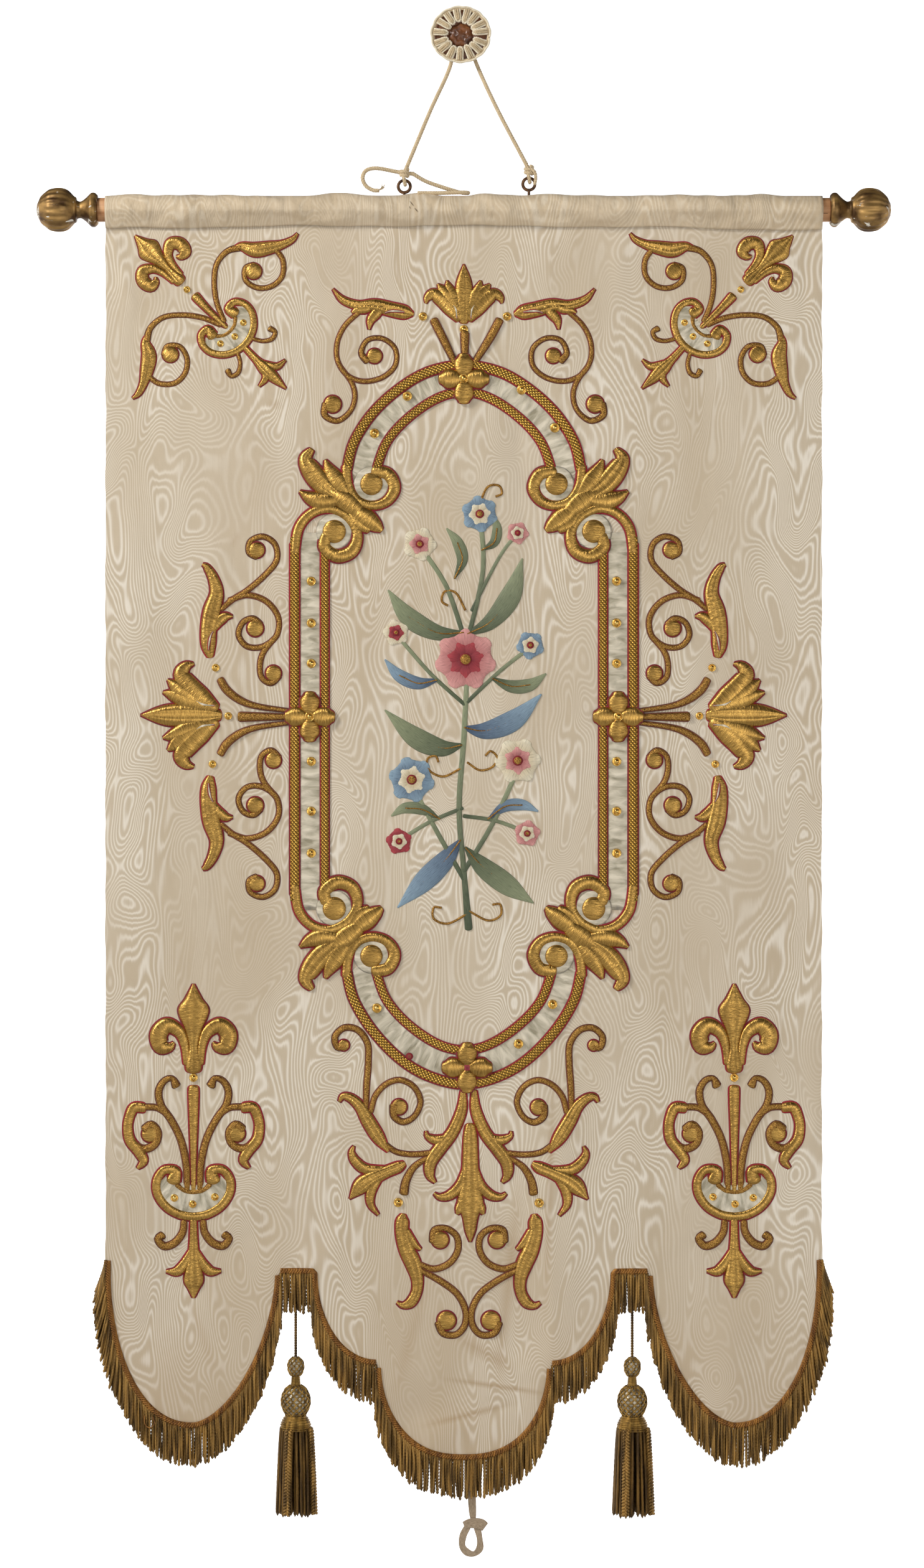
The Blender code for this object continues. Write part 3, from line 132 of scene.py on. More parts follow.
class Shader:
    """A material being made: its nodes, and what goes into its Principled BSDF."""

    def __init__(self, name: str) -> None:
        """Starts a material.

        Args:
            name: The material's name.
        """
        self.material = bpy.data.materials.new(name)
        self.material.use_nodes = True
        self.tree = self.material.node_tree
        self.surface = self.tree.nodes["Principled BSDF"]

    def feed(self, socket: bpy.types.NodeSocket, value: object) -> None:
        """Links a wrapped socket to an input, or sets the input's own value."""
        if isinstance(value, Socket):
            self.tree.links.new(value.socket, socket)
        else:
            socket.default_value = value

    def node(
        self, kind: str, settings: dict | None = None, inputs: dict | None = None, output: int | str = 0
    ) -> Socket:
        """Adds a node.

        Args:
            kind: The node's type.
            settings: Its properties, set first; "stops" are a ramp's places and colours.
            inputs: Values or wrapped sockets, by input name or index.
            output: Which output is wrapped.

        Returns:
            The output, wrapped.
        """
        made = self.tree.nodes.new(kind)
        for key, value in (settings or {}).items():
            if key == "stops":
                for place, colour in value[2:]:
                    made.color_ramp.elements.new(place)
                for element, (place, colour) in zip(made.color_ramp.elements, value):
                    element.position = place
                    element.color = colour
            else:
                setattr(made, key, value)
        for key, value in (inputs or {}).items():
            self.feed(made.inputs[key], value)
        return Socket(self, made.outputs[output])

    def maths(self, operation: str, *values: Number) -> Socket:
        """A Math node on one, two or three values."""
        return self.node("ShaderNodeMath", {"operation": operation}, dict(enumerate(values)))

    def mix(self, factor: Number, first: Colour | Socket, second: Colour | Socket) -> Socket:
        """The first colour going over to the second."""
        settings = {"data_type": "RGBA", "clamp_factor": True}
        return self.node("ShaderNodeMix", settings, {0: factor, 6: first, 7: second}, 2)

    def place(self, scale: Point = (1.0, 1.0, 1.0)) -> Socket:
        """The place on the object in metres, stretched by a scale."""
        place = self.node("ShaderNodeTexCoord", output="Object")
        return self.node("ShaderNodeVectorMath", {"operation": "MULTIPLY"}, {0: place, 1: scale})

    def stitch(self, scale: Point = (1.0, 1.0, 1.0)) -> Socket:
        """Along and across a stroke in millimetres, and the share of its length, stretched by a scale."""
        place = self.node("ShaderNodeAttribute", {"attribute_name": "stitch"}, output="Vector")
        return self.node("ShaderNodeVectorMath", {"operation": "MULTIPLY"}, {0: place, 1: scale})

    def part(self, vector: Socket, axis: str) -> Socket:
        """One of a vector's parts: X, Y or Z."""
        return self.node("ShaderNodeSeparateXYZ", inputs={0: vector}, output=axis)

    def streak(self, place: Socket, x: float, z: float, turn: float, reach: float, half: float) -> Socket:
        """How much a place lies in a soft streak, from 0 to 1.

        Args:
            place: The place on the object in metres.
            x: The streak's middle, across.
            z: The streak's middle, up.
            turn: Its slope in degrees.
            reach: Half its length.
            half: Half its width.

        Returns:
            The share, as a socket.
        """
        right, up = self.part(place, "X") - x, self.part(place, "Z") - z
        cos, sin = math.cos(math.radians(turn)), math.sin(math.radians(turn))
        along, across = right * cos + up * sin, up * cos - right * sin
        ends = 1.0 - abs(along).stepped(reach * 0.3, reach)
        return ends * (1.0 - abs(across).stepped(0.0, half))

    def noise(
        self, vector: Socket, detail: float = 2.0, distortion: float = 0.0, scale: float = 1.0
    ) -> Socket:
        """Smooth noise from 0 to 1."""
        inputs = {"Vector": vector, "Scale": scale, "Detail": detail, "Distortion": distortion}
        return self.node("ShaderNodeTexNoise", inputs=inputs)

    def cells(self, vector: Socket, scale: float) -> Socket:
        """The distance to the middle of the nearest cell."""
        return self.node("ShaderNodeTexVoronoi", inputs={"Vector": vector, "Scale": scale}, output="Distance")

    def bump(self, height: Socket, distance: float, strength: float = 1.0) -> Socket:
        """A normal raised by a height, over a distance in metres."""
        inputs = {"Height": height, "Distance": distance, "Strength": strength}
        return self.node("ShaderNodeBump", inputs=inputs)

    def done(self, **inputs: object) -> bpy.types.Material:
        """Sets the Principled BSDF's inputs, with _ for each space, and gives the material."""
        for key, value in inputs.items():
            self.feed(self.surface.inputs[key.replace("_", " ")], value)
        return self.material


# Small dark marks on the heading, and stains and lines of painted crease shade on the cloth: across and up
# in metres, slope in degrees, half the length, half the width and depth
MARKS = (
    (-0.0615, -0.2185, -52.0, 0.0052, 0.0011, 1.0),
    (-0.0560, -0.2265, -48.0, 0.0040, 0.0012, 1.0),
    (-0.0640, -0.2235, -60.0, 0.0022, 0.0009, 0.9),
)
STAINS_AND_CREASE_SHADE = (
    (0.046, -1.712, -8.0, 0.080, 0.005, 0.55),
    (0.010, -1.748, 14.0, 0.070, 0.006, 0.5),
    (0.060, -1.585, 84.0, 0.150, 0.010, 0.35),
    (0.112, -1.470, 88.0, 0.170, 0.006, 0.4),
    (0.030, -1.670, -30.0, 0.050, 0.012, 0.4),
    (-0.060, -1.640, 74.0, 0.110, 0.012, 0.25),
    (-0.285, -0.640, 60.0, 0.012, 0.008, 0.3),
    (-0.236, -0.470, 10.0, 0.010, 0.008, 0.35),
    (0.330, -1.400, 80.0, 0.120, 0.008, 0.2),
    (-0.330, -1.640, -70.0, 0.080, 0.010, 0.2),
)


class Finish:
    """A finish, whose material is made once."""

    name: str

    @functools.cache
    def material(self) -> bpy.types.Material:
        """The finish's material."""
        s = Shader(self.name)
        return s.done(**self.inputs(s))

    def inputs(self, s: Shader) -> dict[str, object]:
        """What goes into the Principled BSDF, from the shader's nodes."""
        raise NotImplementedError


@dataclass(frozen=True)
class WateredSilk(Finish):
    """Ribbed silk pressed to a watered pattern of tall ovals and wandering lines."""

    name: str
    ground: Colour
    line: Colour
    shade: Colour
    # Dirt colour, also used for the painted shade along crease lines on the cloth
    soil_and_crease_shade: Colour
    soiling: float
    contours: float = 7.6
    marked: bool = False
    crumpling: float = 0.0024

    def inputs(self, s: Shader) -> dict[str, object]:
        """The silk's material."""
        place = s.place()
        sway = s.noise(s.place((5.0, 1.0, 2.6)), 1.0)
        rise = s.noise(s.place((6.0, 1.0, 3.0)), 1.0, scale=2.0)
        columns = (s.part(place, "X") * 34.0 + sway * 7.0).sine()
        rows = (s.part(place, "Z") * 15.0 + rise * 11.0).sine()
        ragged = s.noise(s.place((420.0, 1.0, 12.0)), 1.0)
        wander = s.noise(s.place((9.0, 1.0, 4.0)), 0.5)
        phase = columns * rows * self.contours + wander * 8.0 + ragged * 0.35
        wave = (phase * (2 * math.pi)).sine() * 0.5 + 0.5
        wider = s.noise(s.place((14.0, 1.0, 2.4)), 2.0).stepped(0.35, 0.65)
        strength = s.noise(s.place((8.0, 1.0, 4.0)), 1.0).stepped(0.34, 0.60)
        lines = (wave**2.0) * (strength * 0.75 + 0.25)
        colour = s.mix(wider * 0.6, self.ground, self.shade)
        # The watered pattern's lines, lighter in colour, partly a painted sheen standing in for the silk's shine
        colour = s.mix(lines * 0.8, colour, self.line)
        cloud = s.noise(s.place((3.0, 1.0, 2.2)), 3.0).stepped(0.42, 0.75)
        colour = s.mix(cloud * self.soiling, colour, self.soil_and_crease_shade)
        low = s.part(place, "Z").stepped(-1.46, -1.84) * s.noise(s.place((7.0, 1.0, 7.0)), 4.0)
        colour = s.mix(low * self.soiling * 3.4, colour, self.soil_and_crease_shade)
        spots = s.noise(s.place((24.0, 1.0, 24.0)), 4.0).stepped(0.70, 0.80)
        colour = s.mix(spots * (self.soiling * 0.8), colour, self.soil_and_crease_shade)
        # Dark marks: stains on the heading; on the cloth stains and painted shade along crease lines
        for x, z, turn, reach, half, depth in MARKS if self.marked else STAINS_AND_CREASE_SHADE:
            colour = s.mix(s.streak(place, x, z, turn, reach, half) * depth, colour, self.soil_and_crease_shade)
        ribs = s.noise(s.place((26.0, 1.0, 1500.0)), 1.0)
        crumple = s.noise(s.place((30.0, 1.0, 18.0)), 4.0)
        height = ribs * 0.00006 + crumple * self.crumpling + lines * 0.00003
        return dict(
            Base_Color=colour,
            Roughness=0.62 - lines * 0.12,
            Specular_IOR_Level=0.35,
            Sheen_Weight=0.18,
            Sheen_Roughness=0.4,
            Normal=s.bump(height, 1.0, 0.8),
        )


@dataclass(frozen=True)
class SatinStitch(Finish):
    """Gilt thread laid side by side across a padded stroke, dulled in patches."""

    name: str = "gilt_satin_stitch"
    light: Colour = srgb(226, 181, 98)
    dark: Colour = srgb(128, 92, 38)
    tarnish: Colour = srgb(88, 60, 26)

    def inputs(self, s: Shader) -> dict[str, object]:
        """The material, its threads running across the stroke."""
        threads = s.noise(s.stitch((2.6, 0.10, 0.0)), 2.0)
        bands = s.noise(s.stitch((0.22, 0.03, 0.0)), 2.0)
        old = s.noise(s.place((28.0, 28.0, 28.0)), 3.0).stepped(0.45, 0.80)
        # Painted highlight on the raised threads and painted shade between them, from the bump's own thread
        # noise
        colour = s.mix(threads.stepped(0.25, 0.72), self.dark, self.light)
        colour = s.mix(bands.stepped(0.35, 0.7) * 0.3, colour, self.dark)
        colour = s.mix(old * 0.45, colour, self.tarnish)
        return dict(
            Base_Color=colour,
            Metallic=0.92,
            Roughness=0.22 + threads * 0.12,
            Normal=s.bump(threads * 0.00030 + bands * 0.0010, 1.0),
        )


@dataclass(frozen=True)
class PurlChips(Finish):
    """Short chips of coiled gilt wire sewn down close together, a crumbly surface."""

    name: str = "gilt_purl_chips"
    light: Colour = srgb(214, 166, 84)
    dark: Colour = srgb(112, 72, 28)

    def inputs(self, s: Shader) -> dict[str, object]:
        """The material, one cell for each chip."""
        chip = s.cells(s.place(), 820.0)
        tone = s.noise(s.place(), 1.0, scale=640.0)
        wide = s.noise(s.place(), scale=60.0)
        # Painted highlight in each chip's middle and painted shade at its edges, with random tone
        lit = (1.0 - chip.stepped(0.15, 0.65)) * 0.65 + tone.stepped(0.35, 0.7) * 0.35
        colour = s.mix(lit, self.dark, self.light)
        colour = s.mix(wide.stepped(0.5, 0.75) * 0.35, colour, self.dark)
        return dict(
            Base_Color=colour,
            Metallic=0.82,
            Roughness=0.38,
            Normal=s.bump((1.0 - chip) * 0.0005, 1.0),
        )


@dataclass(frozen=True)
class PlaitedBraid(Finish):
    """Flat gilt braid with a lattice of small diamonds."""

    name: str = "gilt_braid"
    light: Colour = srgb(212, 164, 74)
    dark: Colour = srgb(64, 40, 12)
    repeat: float = 5.0

    def inputs(self, s: Shader) -> dict[str, object]:
        """The material, its diamonds on the braid's own length and width."""
        place = s.stitch()
        along, across = s.part(place, "X"), s.part(place, "Y")
        turn = math.pi / self.repeat
        plait = abs(((along + across) * turn).sine() * ((along - across) * turn).sine())
        tone = s.noise(s.place(), scale=300.0)
        # Painted highlight on the raised diamonds and painted shade in the hollows between them, with random
        # tone
        colour = s.mix(plait.stepped(0.02, 0.55) * 0.75 + tone * 0.25, self.dark, self.light)
        return dict(
            Base_Color=colour,
            Metallic=0.85,
            Roughness=0.34,
            Normal=s.bump(plait * 0.0009 + tone * 0.0001, 1.0),
        )


@dataclass(frozen=True)
class Thread(Finish):
    """Coloured thread in long stitches that run along a stroke, from one tone to another."""

    name: str
    root: Colour
    tip: Colour
    roughness: float = 0.55
    sideways: bool = False

    def inputs(self, s: Shader) -> dict[str, object]:
        """The material, its stitches split into fine strands."""
        scale = (2.2, 0.2, 0.0) if self.sideways else (0.10, 2.4, 0.0)
        strands = s.noise(s.stitch(scale), 3.0)
        share = s.part(s.stitch(), "Z")
        colour = s.mix((share + strands * 0.7 - 0.35).stepped(0.05, 0.95), self.root, self.tip)
        # Painted shade in the hollows between the strands, from the bump's own strand noise
        darker = s.mix(0.5, colour, (0.0, 0.0, 0.0, 1.0))
        colour = s.mix(1.0 - strands.stepped(0.25, 0.5), colour, darker)
        return dict(
            Base_Color=colour,
            Roughness=self.roughness,
            Specular_IOR_Level=0.4,
            Sheen_Weight=0.2,
            Normal=s.bump(strands * 0.0004, 1.0),
        )


@dataclass(frozen=True)
class PaleSatin(Finish):
    """Pale satin, sewn down between the braids with small cross wrinkles."""

    name: str = "pale_satin_cloth"
    light: Colour = srgb(226, 214, 190)
    dark: Colour = srgb(150, 140, 114)

    def inputs(self, s: Shader) -> dict[str, object]:
        """The satin's material."""
        fold = s.noise(s.stitch((0.11, 0.035, 0.0)), 3.0, 0.6)
        weave = s.noise(s.place((900.0, 900.0, 60.0)), 1.0)
        # Painted shade in the wrinkles' hollows and painted sheen on their crests, from the bump's own wrinkle
        # noise
        colour = s.mix(fold.stepped(0.32, 0.68), self.dark, self.light)
        return dict(
            Base_Color=colour,
            Roughness=0.34 + fold * 0.2,
            Sheen_Weight=0.25,
            Normal=s.bump(fold * 0.0030 + weave * 0.00004, 1.0),
        )


@dataclass(frozen=True)
class Bullion(Finish):
    """Thick antique gold thread wound round a core, with painted shade between its turns."""

    name: str
    light: Colour
    dark: Colour
    turn: float
    metallic: float

    def inputs(self, s: Shader) -> dict[str, object]:
        """The material, its turns slanting round each strand."""
        place = s.stitch()
        along, round_about = s.part(place, "X"), s.part(place, "Y")
        turns = (along * (2 * math.pi / self.turn) + round_about).sine() * 0.5 + 0.5
        patch = s.noise(s.place((240.0, 240.0, 22.0)), 2.0)
        # Painted shade between the turns, with random tone in patches
        colour = s.mix(turns * 0.3 + patch.stepped(0.36, 0.66) * 0.7, self.dark, self.light)
        return dict(
            Base_Color=colour,
            Metallic=self.metallic,
            Roughness=0.40 + patch * 0.15,
            Normal=s.bump(turns * 0.00018, 1.0),
        )


@dataclass(frozen=True)
class Cotton(Finish):
    """Soft spun cotton, matt, with painted shade in the hollows between its fibres."""

    name: str = "cream_cotton"
    light: Colour = srgb(232, 212, 176)
    dark: Colour = srgb(178, 150, 108)

    def inputs(self, s: Shader) -> dict[str, object]:
        """The cotton's material, its fibres along each yarn."""
        fibres = s.noise(s.stitch((0.25, 2.5, 0.0)), 3.0)
        grey = s.noise(s.place((60.0, 60.0, 60.0)), 2.0)
        # Painted shade in the hollows between the fibres, with random tone in patches
        colour = s.mix(fibres.stepped(0.3, 0.7) * 0.7 + grey * 0.3, self.dark, self.light)
        return dict(
            Base_Color=colour,
            Roughness=0.85,
            Sheen_Weight=0.3,
            Specular_IOR_Level=0.2,
            Normal=s.bump(fibres * 0.0003, 1.0),
        )


@dataclass(frozen=True)
class Wood(Finish):
    """Turned wood with grain along its length."""

    name: str
    light: Colour
    dark: Colour
    roughness: float
    grain: Point = (6.0, 130.0, 130.0)

    def inputs(self, s: Shader) -> dict[str, object]:
        """The wood's material."""
        grain = s.noise(s.place(self.grain), 4.0, 0.4)
        pores = s.noise(s.place((60.0, 900.0, 900.0)), 2.0)
        colour = s.mix(grain.stepped(0.3, 0.7), self.dark, self.light)
        colour = s.mix(pores.stepped(0.55, 0.75) * 0.3, colour, self.dark)
        return dict(
            Base_Color=colour,
            Roughness=self.roughness + grain * 0.1,
            Normal=s.bump(grain * 0.0003 + pores * 0.0001, 1.0),
        )


@dataclass(frozen=True)
class OldGilding(Finish):
    """Bronze gilding rubbed brown on wood, chipped through to its white ground."""

    name: str = "worn_bronze_gilding"
    gilt: Colour = srgb(190, 150, 88)
    brown: Colour = srgb(84, 58, 30)
    ground: Colour = srgb(226, 218, 202)

    def inputs(self, s: Shader) -> dict[str, object]:
        """The gilding's material."""
        rub = s.noise(s.place((30.0, 60.0, 60.0)), 4.0)
        chips = s.noise(s.place((34.0, 95.0, 110.0)), 5.0, 0.8).stepped(0.625, 0.650)
        colour = s.mix(rub.stepped(0.35, 0.68), self.brown, self.gilt)
        colour = s.mix(chips, colour, self.ground)
        return dict(
            Base_Color=colour,
            Metallic=(1.0 - chips) * 0.65,
            Roughness=0.36 + rub * 0.2 + chips * 0.3,
            Normal=s.bump(rub * 0.0005 - chips * 0.0004, 1.0),
        )


@dataclass(frozen=True)
class DarkIron(Finish):
    """Bent iron wire, dark with a thin rust."""

    name: str = "dark_wire"
    light: Colour = srgb(132, 94, 62)
    dark: Colour = srgb(58, 40, 28)

    def inputs(self, s: Shader) -> dict[str, object]:
        """The wire's material."""
        rust = s.noise(s.place((240.0, 240.0, 240.0)), 4.0)
        return dict(
            Base_Color=s.mix(rust.stepped(0.35, 0.7), self.dark, self.light),
            Metallic=0.7,
            Roughness=0.45 + rust * 0.2,
            Normal=s.bump(rust * 0.0002, 1.0),
        )


@dataclass(frozen=True)
class Brass(Finish):
    """Thin stamped gilt metal, bright on its dome."""

    name: str = "stamped_gilt_metal"
    light: Colour = srgb(252, 216, 124)
    dark: Colour = srgb(176, 126, 54)

    def inputs(self, s: Shader) -> dict[str, object]:
        """The metal's material."""
        dull = s.noise(s.place((300.0, 300.0, 300.0)), 3.0)
        return dict(
            Base_Color=s.mix(dull.stepped(0.3, 0.7), self.dark, self.light),
            Metallic=0.95,
            Roughness=0.16 + dull * 0.16,
            Normal=s.bump(dull * 0.0001, 1.0),
        )


BANNER_SILK = WateredSilk(
    "cream_watered_silk", srgb(205, 188, 162), srgb(241, 231, 214), srgb(194, 175, 146),
    srgb(166, 134, 92), 0.17,
)
HEADING_SILK = WateredSilk(
    "heading_watered_silk", srgb(214, 193, 162), srgb(230, 214, 188), srgb(202, 180, 147),
    srgb(78, 56, 34), 0.10, marked=True, crumpling=0.010,
)
CRIMSON_EDGE = Thread("crimson_edge", srgb(158, 14, 34), srgb(128, 16, 28), 0.7, True)
BROWN_EDGE = Thread("brown_edge", srgb(124, 62, 36), srgb(92, 44, 26), 0.7, True)
SAGE = Thread("sage_thread", srgb(74, 84, 58), srgb(146, 152, 116))
BLUE = Thread("blue_thread", srgb(66, 84, 108), srgb(140, 164, 180))
ROSE = Thread("rose_thread", srgb(150, 62, 66), srgb(222, 158, 150))
CREAM = Thread("cream_thread", srgb(196, 172, 128), srgb(234, 222, 194))
CRIMSON = Thread("crimson_thread", srgb(112, 20, 34), srgb(176, 60, 66))
PADDED_GOLD = SatinStitch()
CHIPPED_GOLD = PurlChips()
BRAIDED_GOLD = PlaitedBraid()
STUD_METAL = Brass()
BARE_WOOD = Wood("bare_softwood", srgb(214, 164, 116), srgb(164, 108, 66), 0.55)
BROWN_WOOD = Wood("stained_wood", srgb(142, 88, 50), srgb(72, 38, 20), 0.3, (60.0, 60.0, 60.0))


def grid_faces(rows: int, columns: int, closed: bool = False) -> np.ndarray:
    """Four-sided faces over a grid of points kept row by row.

    Args:
        rows: How many rows of points.
        columns: How many points in each row.
        closed: Whether each row's last point joins its first.

    Returns:
        The faces' point numbers, one face a row.
    """
    i, j = np.meshgrid(np.arange(rows - 1), np.arange(columns if closed else columns - 1), indexing="ij")
    after = (j + 1) % columns
    corners = (i * columns + j, (i + 1) * columns + j, (i + 1) * columns + after, i * columns + after)
    return np.stack(corners, -1).reshape(-1, 4)


def smooth_line(points: Sequence[Sequence[float]], step: float) -> np.ndarray:
    """A smooth line through points.

    Args:
        points: The points, with any further values, such as a half width, beside them.
        step: About how far apart the line's own points lie.

    Returns:
        The line's points as rows.
    """
    given = np.asarray(points, float)
    ends = np.vstack([2 * given[0] - given[1], given, 2 * given[-1] - given[-2]])
    line = []
    for p, q, r, s in zip(ends, ends[1:], ends[2:], ends[3:]):
        count = max(1, round(float(np.linalg.norm(r[:3] - q[:3])) / step))
        t = (np.arange(count) / count)[:, None]
        bend, twist = 2 * p - 5 * q + 4 * r - s, 3 * q - p - 3 * r + s
        line.append(0.5 * (2 * q + (r - p) * t + bend * t**2 + twist * t**3))
    return np.vstack([*line, given[-1:]])


def lengths(line: np.ndarray) -> np.ndarray:
    """How far along a line each of its points is."""
    steps = np.linalg.norm(np.diff(line, axis=0), axis=1)
    return np.concatenate([[0.0], np.cumsum(steps)])


def frames_along(line: np.ndarray) -> tuple[np.ndarray, np.ndarray]:
    """Two directions across a line in space at each of its points, which turn as little as they can."""
    along = np.gradient(line, axis=0)
    along /= np.linalg.norm(along, axis=1)[:, None]
    side = np.zeros_like(line)
    first = np.cross(along[0], (0.0, 1.0, 0.0))
    if np.linalg.norm(first) < 0.1:
        first = np.cross(along[0], (1.0, 0.0, 0.0))
    side[0] = first / np.linalg.norm(first)
    for i in range(1, len(line)):
        turned = side[i - 1] - along[i] * (side[i - 1] @ along[i])
        side[i] = turned / np.linalg.norm(turned)
    return side, np.cross(along, side)


def flat_frames(line: np.ndarray) -> tuple[np.ndarray, np.ndarray]:
    """The directions along and across a line on a plane at each of its points."""
    along = np.gradient(line[:, :2], axis=0)
    along /= np.maximum(np.linalg.norm(along, axis=1), 1e-9)[:, None]
    return along, np.stack([-along[:, 1], along[:, 0]], -1)


def closed_faces(rows: int, sides: int) -> list[np.ndarray]:
    """The faces of a grid of points whose rows are rings, with its two ends."""
    ring = np.arange(sides)
    return [grid_faces(rows, sides, True), ring[None], ((rows - 1) * sides + ring)[None, ::-1]]


def turned_over(faces: Iterable[np.ndarray]) -> list[np.ndarray]:
    """Faces that point the other way."""
    return [face[:, ::-1] for face in faces]


def new_object(name: str, data: bpy.types.ID) -> bpy.types.Object:
    """An object in the scene that shows a mesh, a light or a camera."""
    obj = bpy.data.objects.new(name, data)
    bpy.context.scene.collection.objects.link(obj)
    return obj


class Shape:
    """Points, faces, finishes and stitch coordinates gathered for one mesh."""

    def __init__(self) -> None:
        """Starts with nothing gathered."""
        self.points: list[np.ndarray] = []
        self.stitch: list[np.ndarray] = []
        self.faces: list[tuple[np.ndarray, int]] = []
        self.finishes: list[Finish] = []
        self.count = 0

    def add(
        self, points: np.ndarray, faces: Iterable[np.ndarray], stitch: np.ndarray, finish: Finish
    ) -> None:
        """Adds a closed part.

        Args:
            points: The part's points, one a row.
            faces: Arrays of faces, each with one number of corners.
            stitch: Along, across and share for each point.
            finish: What covers the part.
        """
        if finish not in self.finishes:
            self.finishes.append(finish)
        look = self.finishes.index(finish)
        for face in faces:
            self.faces.append((np.asarray(face) + self.count, look))
        self.points.append(points)
        self.stitch.append(stitch)
        self.count += len(points)

    def tube(
        self, line: np.ndarray, radius: float | np.ndarray, finish: Finish, sides: int = 8, flat: float = 1.0
    ) -> None:
        """Adds a closed tube along a line in space.

        Args:
            line: The tube's middle line.
            radius: Its radius, or one for each point.
            finish: What covers it.
            sides: How many sides it has.
            flat: How thick it is beside its width.
        """
        side, other = frames_along(line)
        angle = np.arange(sides) * 2 * math.pi / sides
        reach = np.broadcast_to(np.asarray(radius, float).reshape(-1, 1, 1), (len(line), 1, 1))
        round_about = side[:, None] * np.cos(angle)[:, None] + other[:, None] * np.sin(angle)[:, None] * flat
        points = (line[:, None] + round_about * reach).reshape(-1, 3)
        place = np.broadcast_to((lengths(line) / MM)[:, None], (len(line), sides))
        share = place / max(place.max(), 1e-6)
        stitch = np.stack([place, np.broadcast_to(angle, place.shape), share], -1).reshape(-1, 3)
        self.add(points, turned_over(closed_faces(len(line), sides)), stitch, finish)

    def sheet(self, front: np.ndarray, back: np.ndarray, finish: Finish) -> None:
        """Adds a closed thin sheet between two grids of points."""
        rows, columns = front.shape[:2]
        count = rows * columns
        rim = np.concatenate([
            np.arange(columns),
            np.arange(1, rows) * columns + columns - 1,
            (rows - 1) * columns + np.arange(columns - 2, -1, -1),
            np.arange(rows - 2, 0, -1) * columns,
        ])
        after = np.roll(rim, -1)
        edge = np.stack([rim, after, after + count, rim + count], -1)
        faces = grid_faces(rows, columns)
        points = np.vstack([front.reshape(-1, 3), back.reshape(-1, 3)])
        self.add(points, (faces, faces[:, ::-1] + count, edge), np.zeros_like(points), finish)

    def rope(
        self,
        line: np.ndarray,
        finish: Finish,
        strands: int = 3,
        radius: float = 0.00145,
        reach: float = 0.00128,
        pitch: float = 0.0095,
        sides: int = 8,
    ) -> None:
        """Adds strands twisted round a line in space.

        Args:
            line: The rope's middle line.
            finish: What covers it.
            strands: How many strands it has.
            radius: A strand's radius.
            reach: How far the strands' middles are from the line.
            pitch: How far along the line one turn goes.
            sides: How many sides a strand has.
        """
        side, other = frames_along(line)
        far = lengths(line)[:, None]
        for strand in range(strands):
            turn = 2 * math.pi * (far / pitch + strand / strands)
            self.tube(line + reach * (side * np.cos(turn) + other * np.sin(turn)), radius, finish, sides)

    def turned(
        self,
        profile: Sequence[Sequence[float]],
        centre: Point,
        axes: np.ndarray,
        finish: Finish,
        sides: int = 48,
        ribs: tuple[int, float, float, float] = (0, 0.0, 0.0, 1.0),
    ) -> None:
        """Adds a turned part.

        Args:
            profile: Rows of how far along the axis and the radius, from one tip to the other.
            centre: Where the axis starts.
            axes: The axis, and the two directions across it, as rows.
            finish: What covers it.
            sides: How many sides it has.
            ribs: How many ribs, their depth as a share, and the stretch of the axis that has them.
        """
        rows = np.asarray(profile, float)
        angle = np.arange(sides) * 2 * math.pi / sides
        count, depth, low, high = ribs
        span = np.clip((rows[:, 0] - low) / max(high - low, 1e-9), 0.0, 1.0)
        strength = depth * np.sin(math.pi * span) ** 0.5
        reach = rows[:, 1:2] * (1 + strength[:, None] * np.cos(count * angle)) + 1e-5
        across = axes[1] * np.cos(angle)[:, None] + axes[2] * np.sin(angle)[:, None]
        points = np.asarray(centre) + rows[:, :1, None] * axes[0] + reach[..., None] * across
        place = np.broadcast_to(lengths(rows)[:, None] / MM, reach.shape)
        stitch = np.stack([place, np.broadcast_to(angle, reach.shape), place / place.max()], -1)
        faces = turned_over(closed_faces(len(rows), sides))
        self.add(points.reshape(-1, 3), faces, stitch.reshape(-1, 3), finish)

    def piece(self, name: str, slot: str, *nodes: str) -> bpy.types.Object:
        """Makes the object, which rides on the banner and stands for the nodes.

        Args:
            name: The piece's name.
            slot: Not used.
            nodes: The nodes that it stands for.

        Returns:
            The object.
        """
        mesh = bpy.data.meshes.new(name)
        points = np.vstack(self.points).astype(np.float32)
        mesh.vertices.add(len(points))
        mesh.vertices.foreach_set("co", points.ravel())
        corners = [face.ravel() for face, _ in self.faces]
        sizes = np.concatenate([np.full(len(face), face.shape[1]) for face, _ in self.faces])
        looks = np.concatenate([np.full(len(face), look) for face, look in self.faces])
        loops = np.concatenate(corners).astype(np.int32)
        mesh.loops.add(len(loops))
        mesh.loops.foreach_set("vertex_index", loops)
        mesh.polygons.add(len(sizes))
        starts = np.concatenate([[0], np.cumsum(sizes)[:-1]]).astype(np.int32)
        mesh.polygons.foreach_set("loop_start", starts)
        mesh.polygons.foreach_set("material_index", looks.astype(np.int32))
        mesh.polygons.foreach_set("use_smooth", np.ones(len(sizes), bool))
        mesh.update(calc_edges=True)
        for finish in self.finishes:
            mesh.materials.append(finish.material())
        held = mesh.attributes.new("stitch", "FLOAT_VECTOR", "POINT")
        held.data.foreach_set("vector", np.vstack(self.stitch).astype(np.float32).ravel())
        obj = new_object(name, mesh)
        if nodes:
            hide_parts(*nodes)
        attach(obj, BODY)
        log.info("%s: %d faces", name, len(sizes))
        return obj


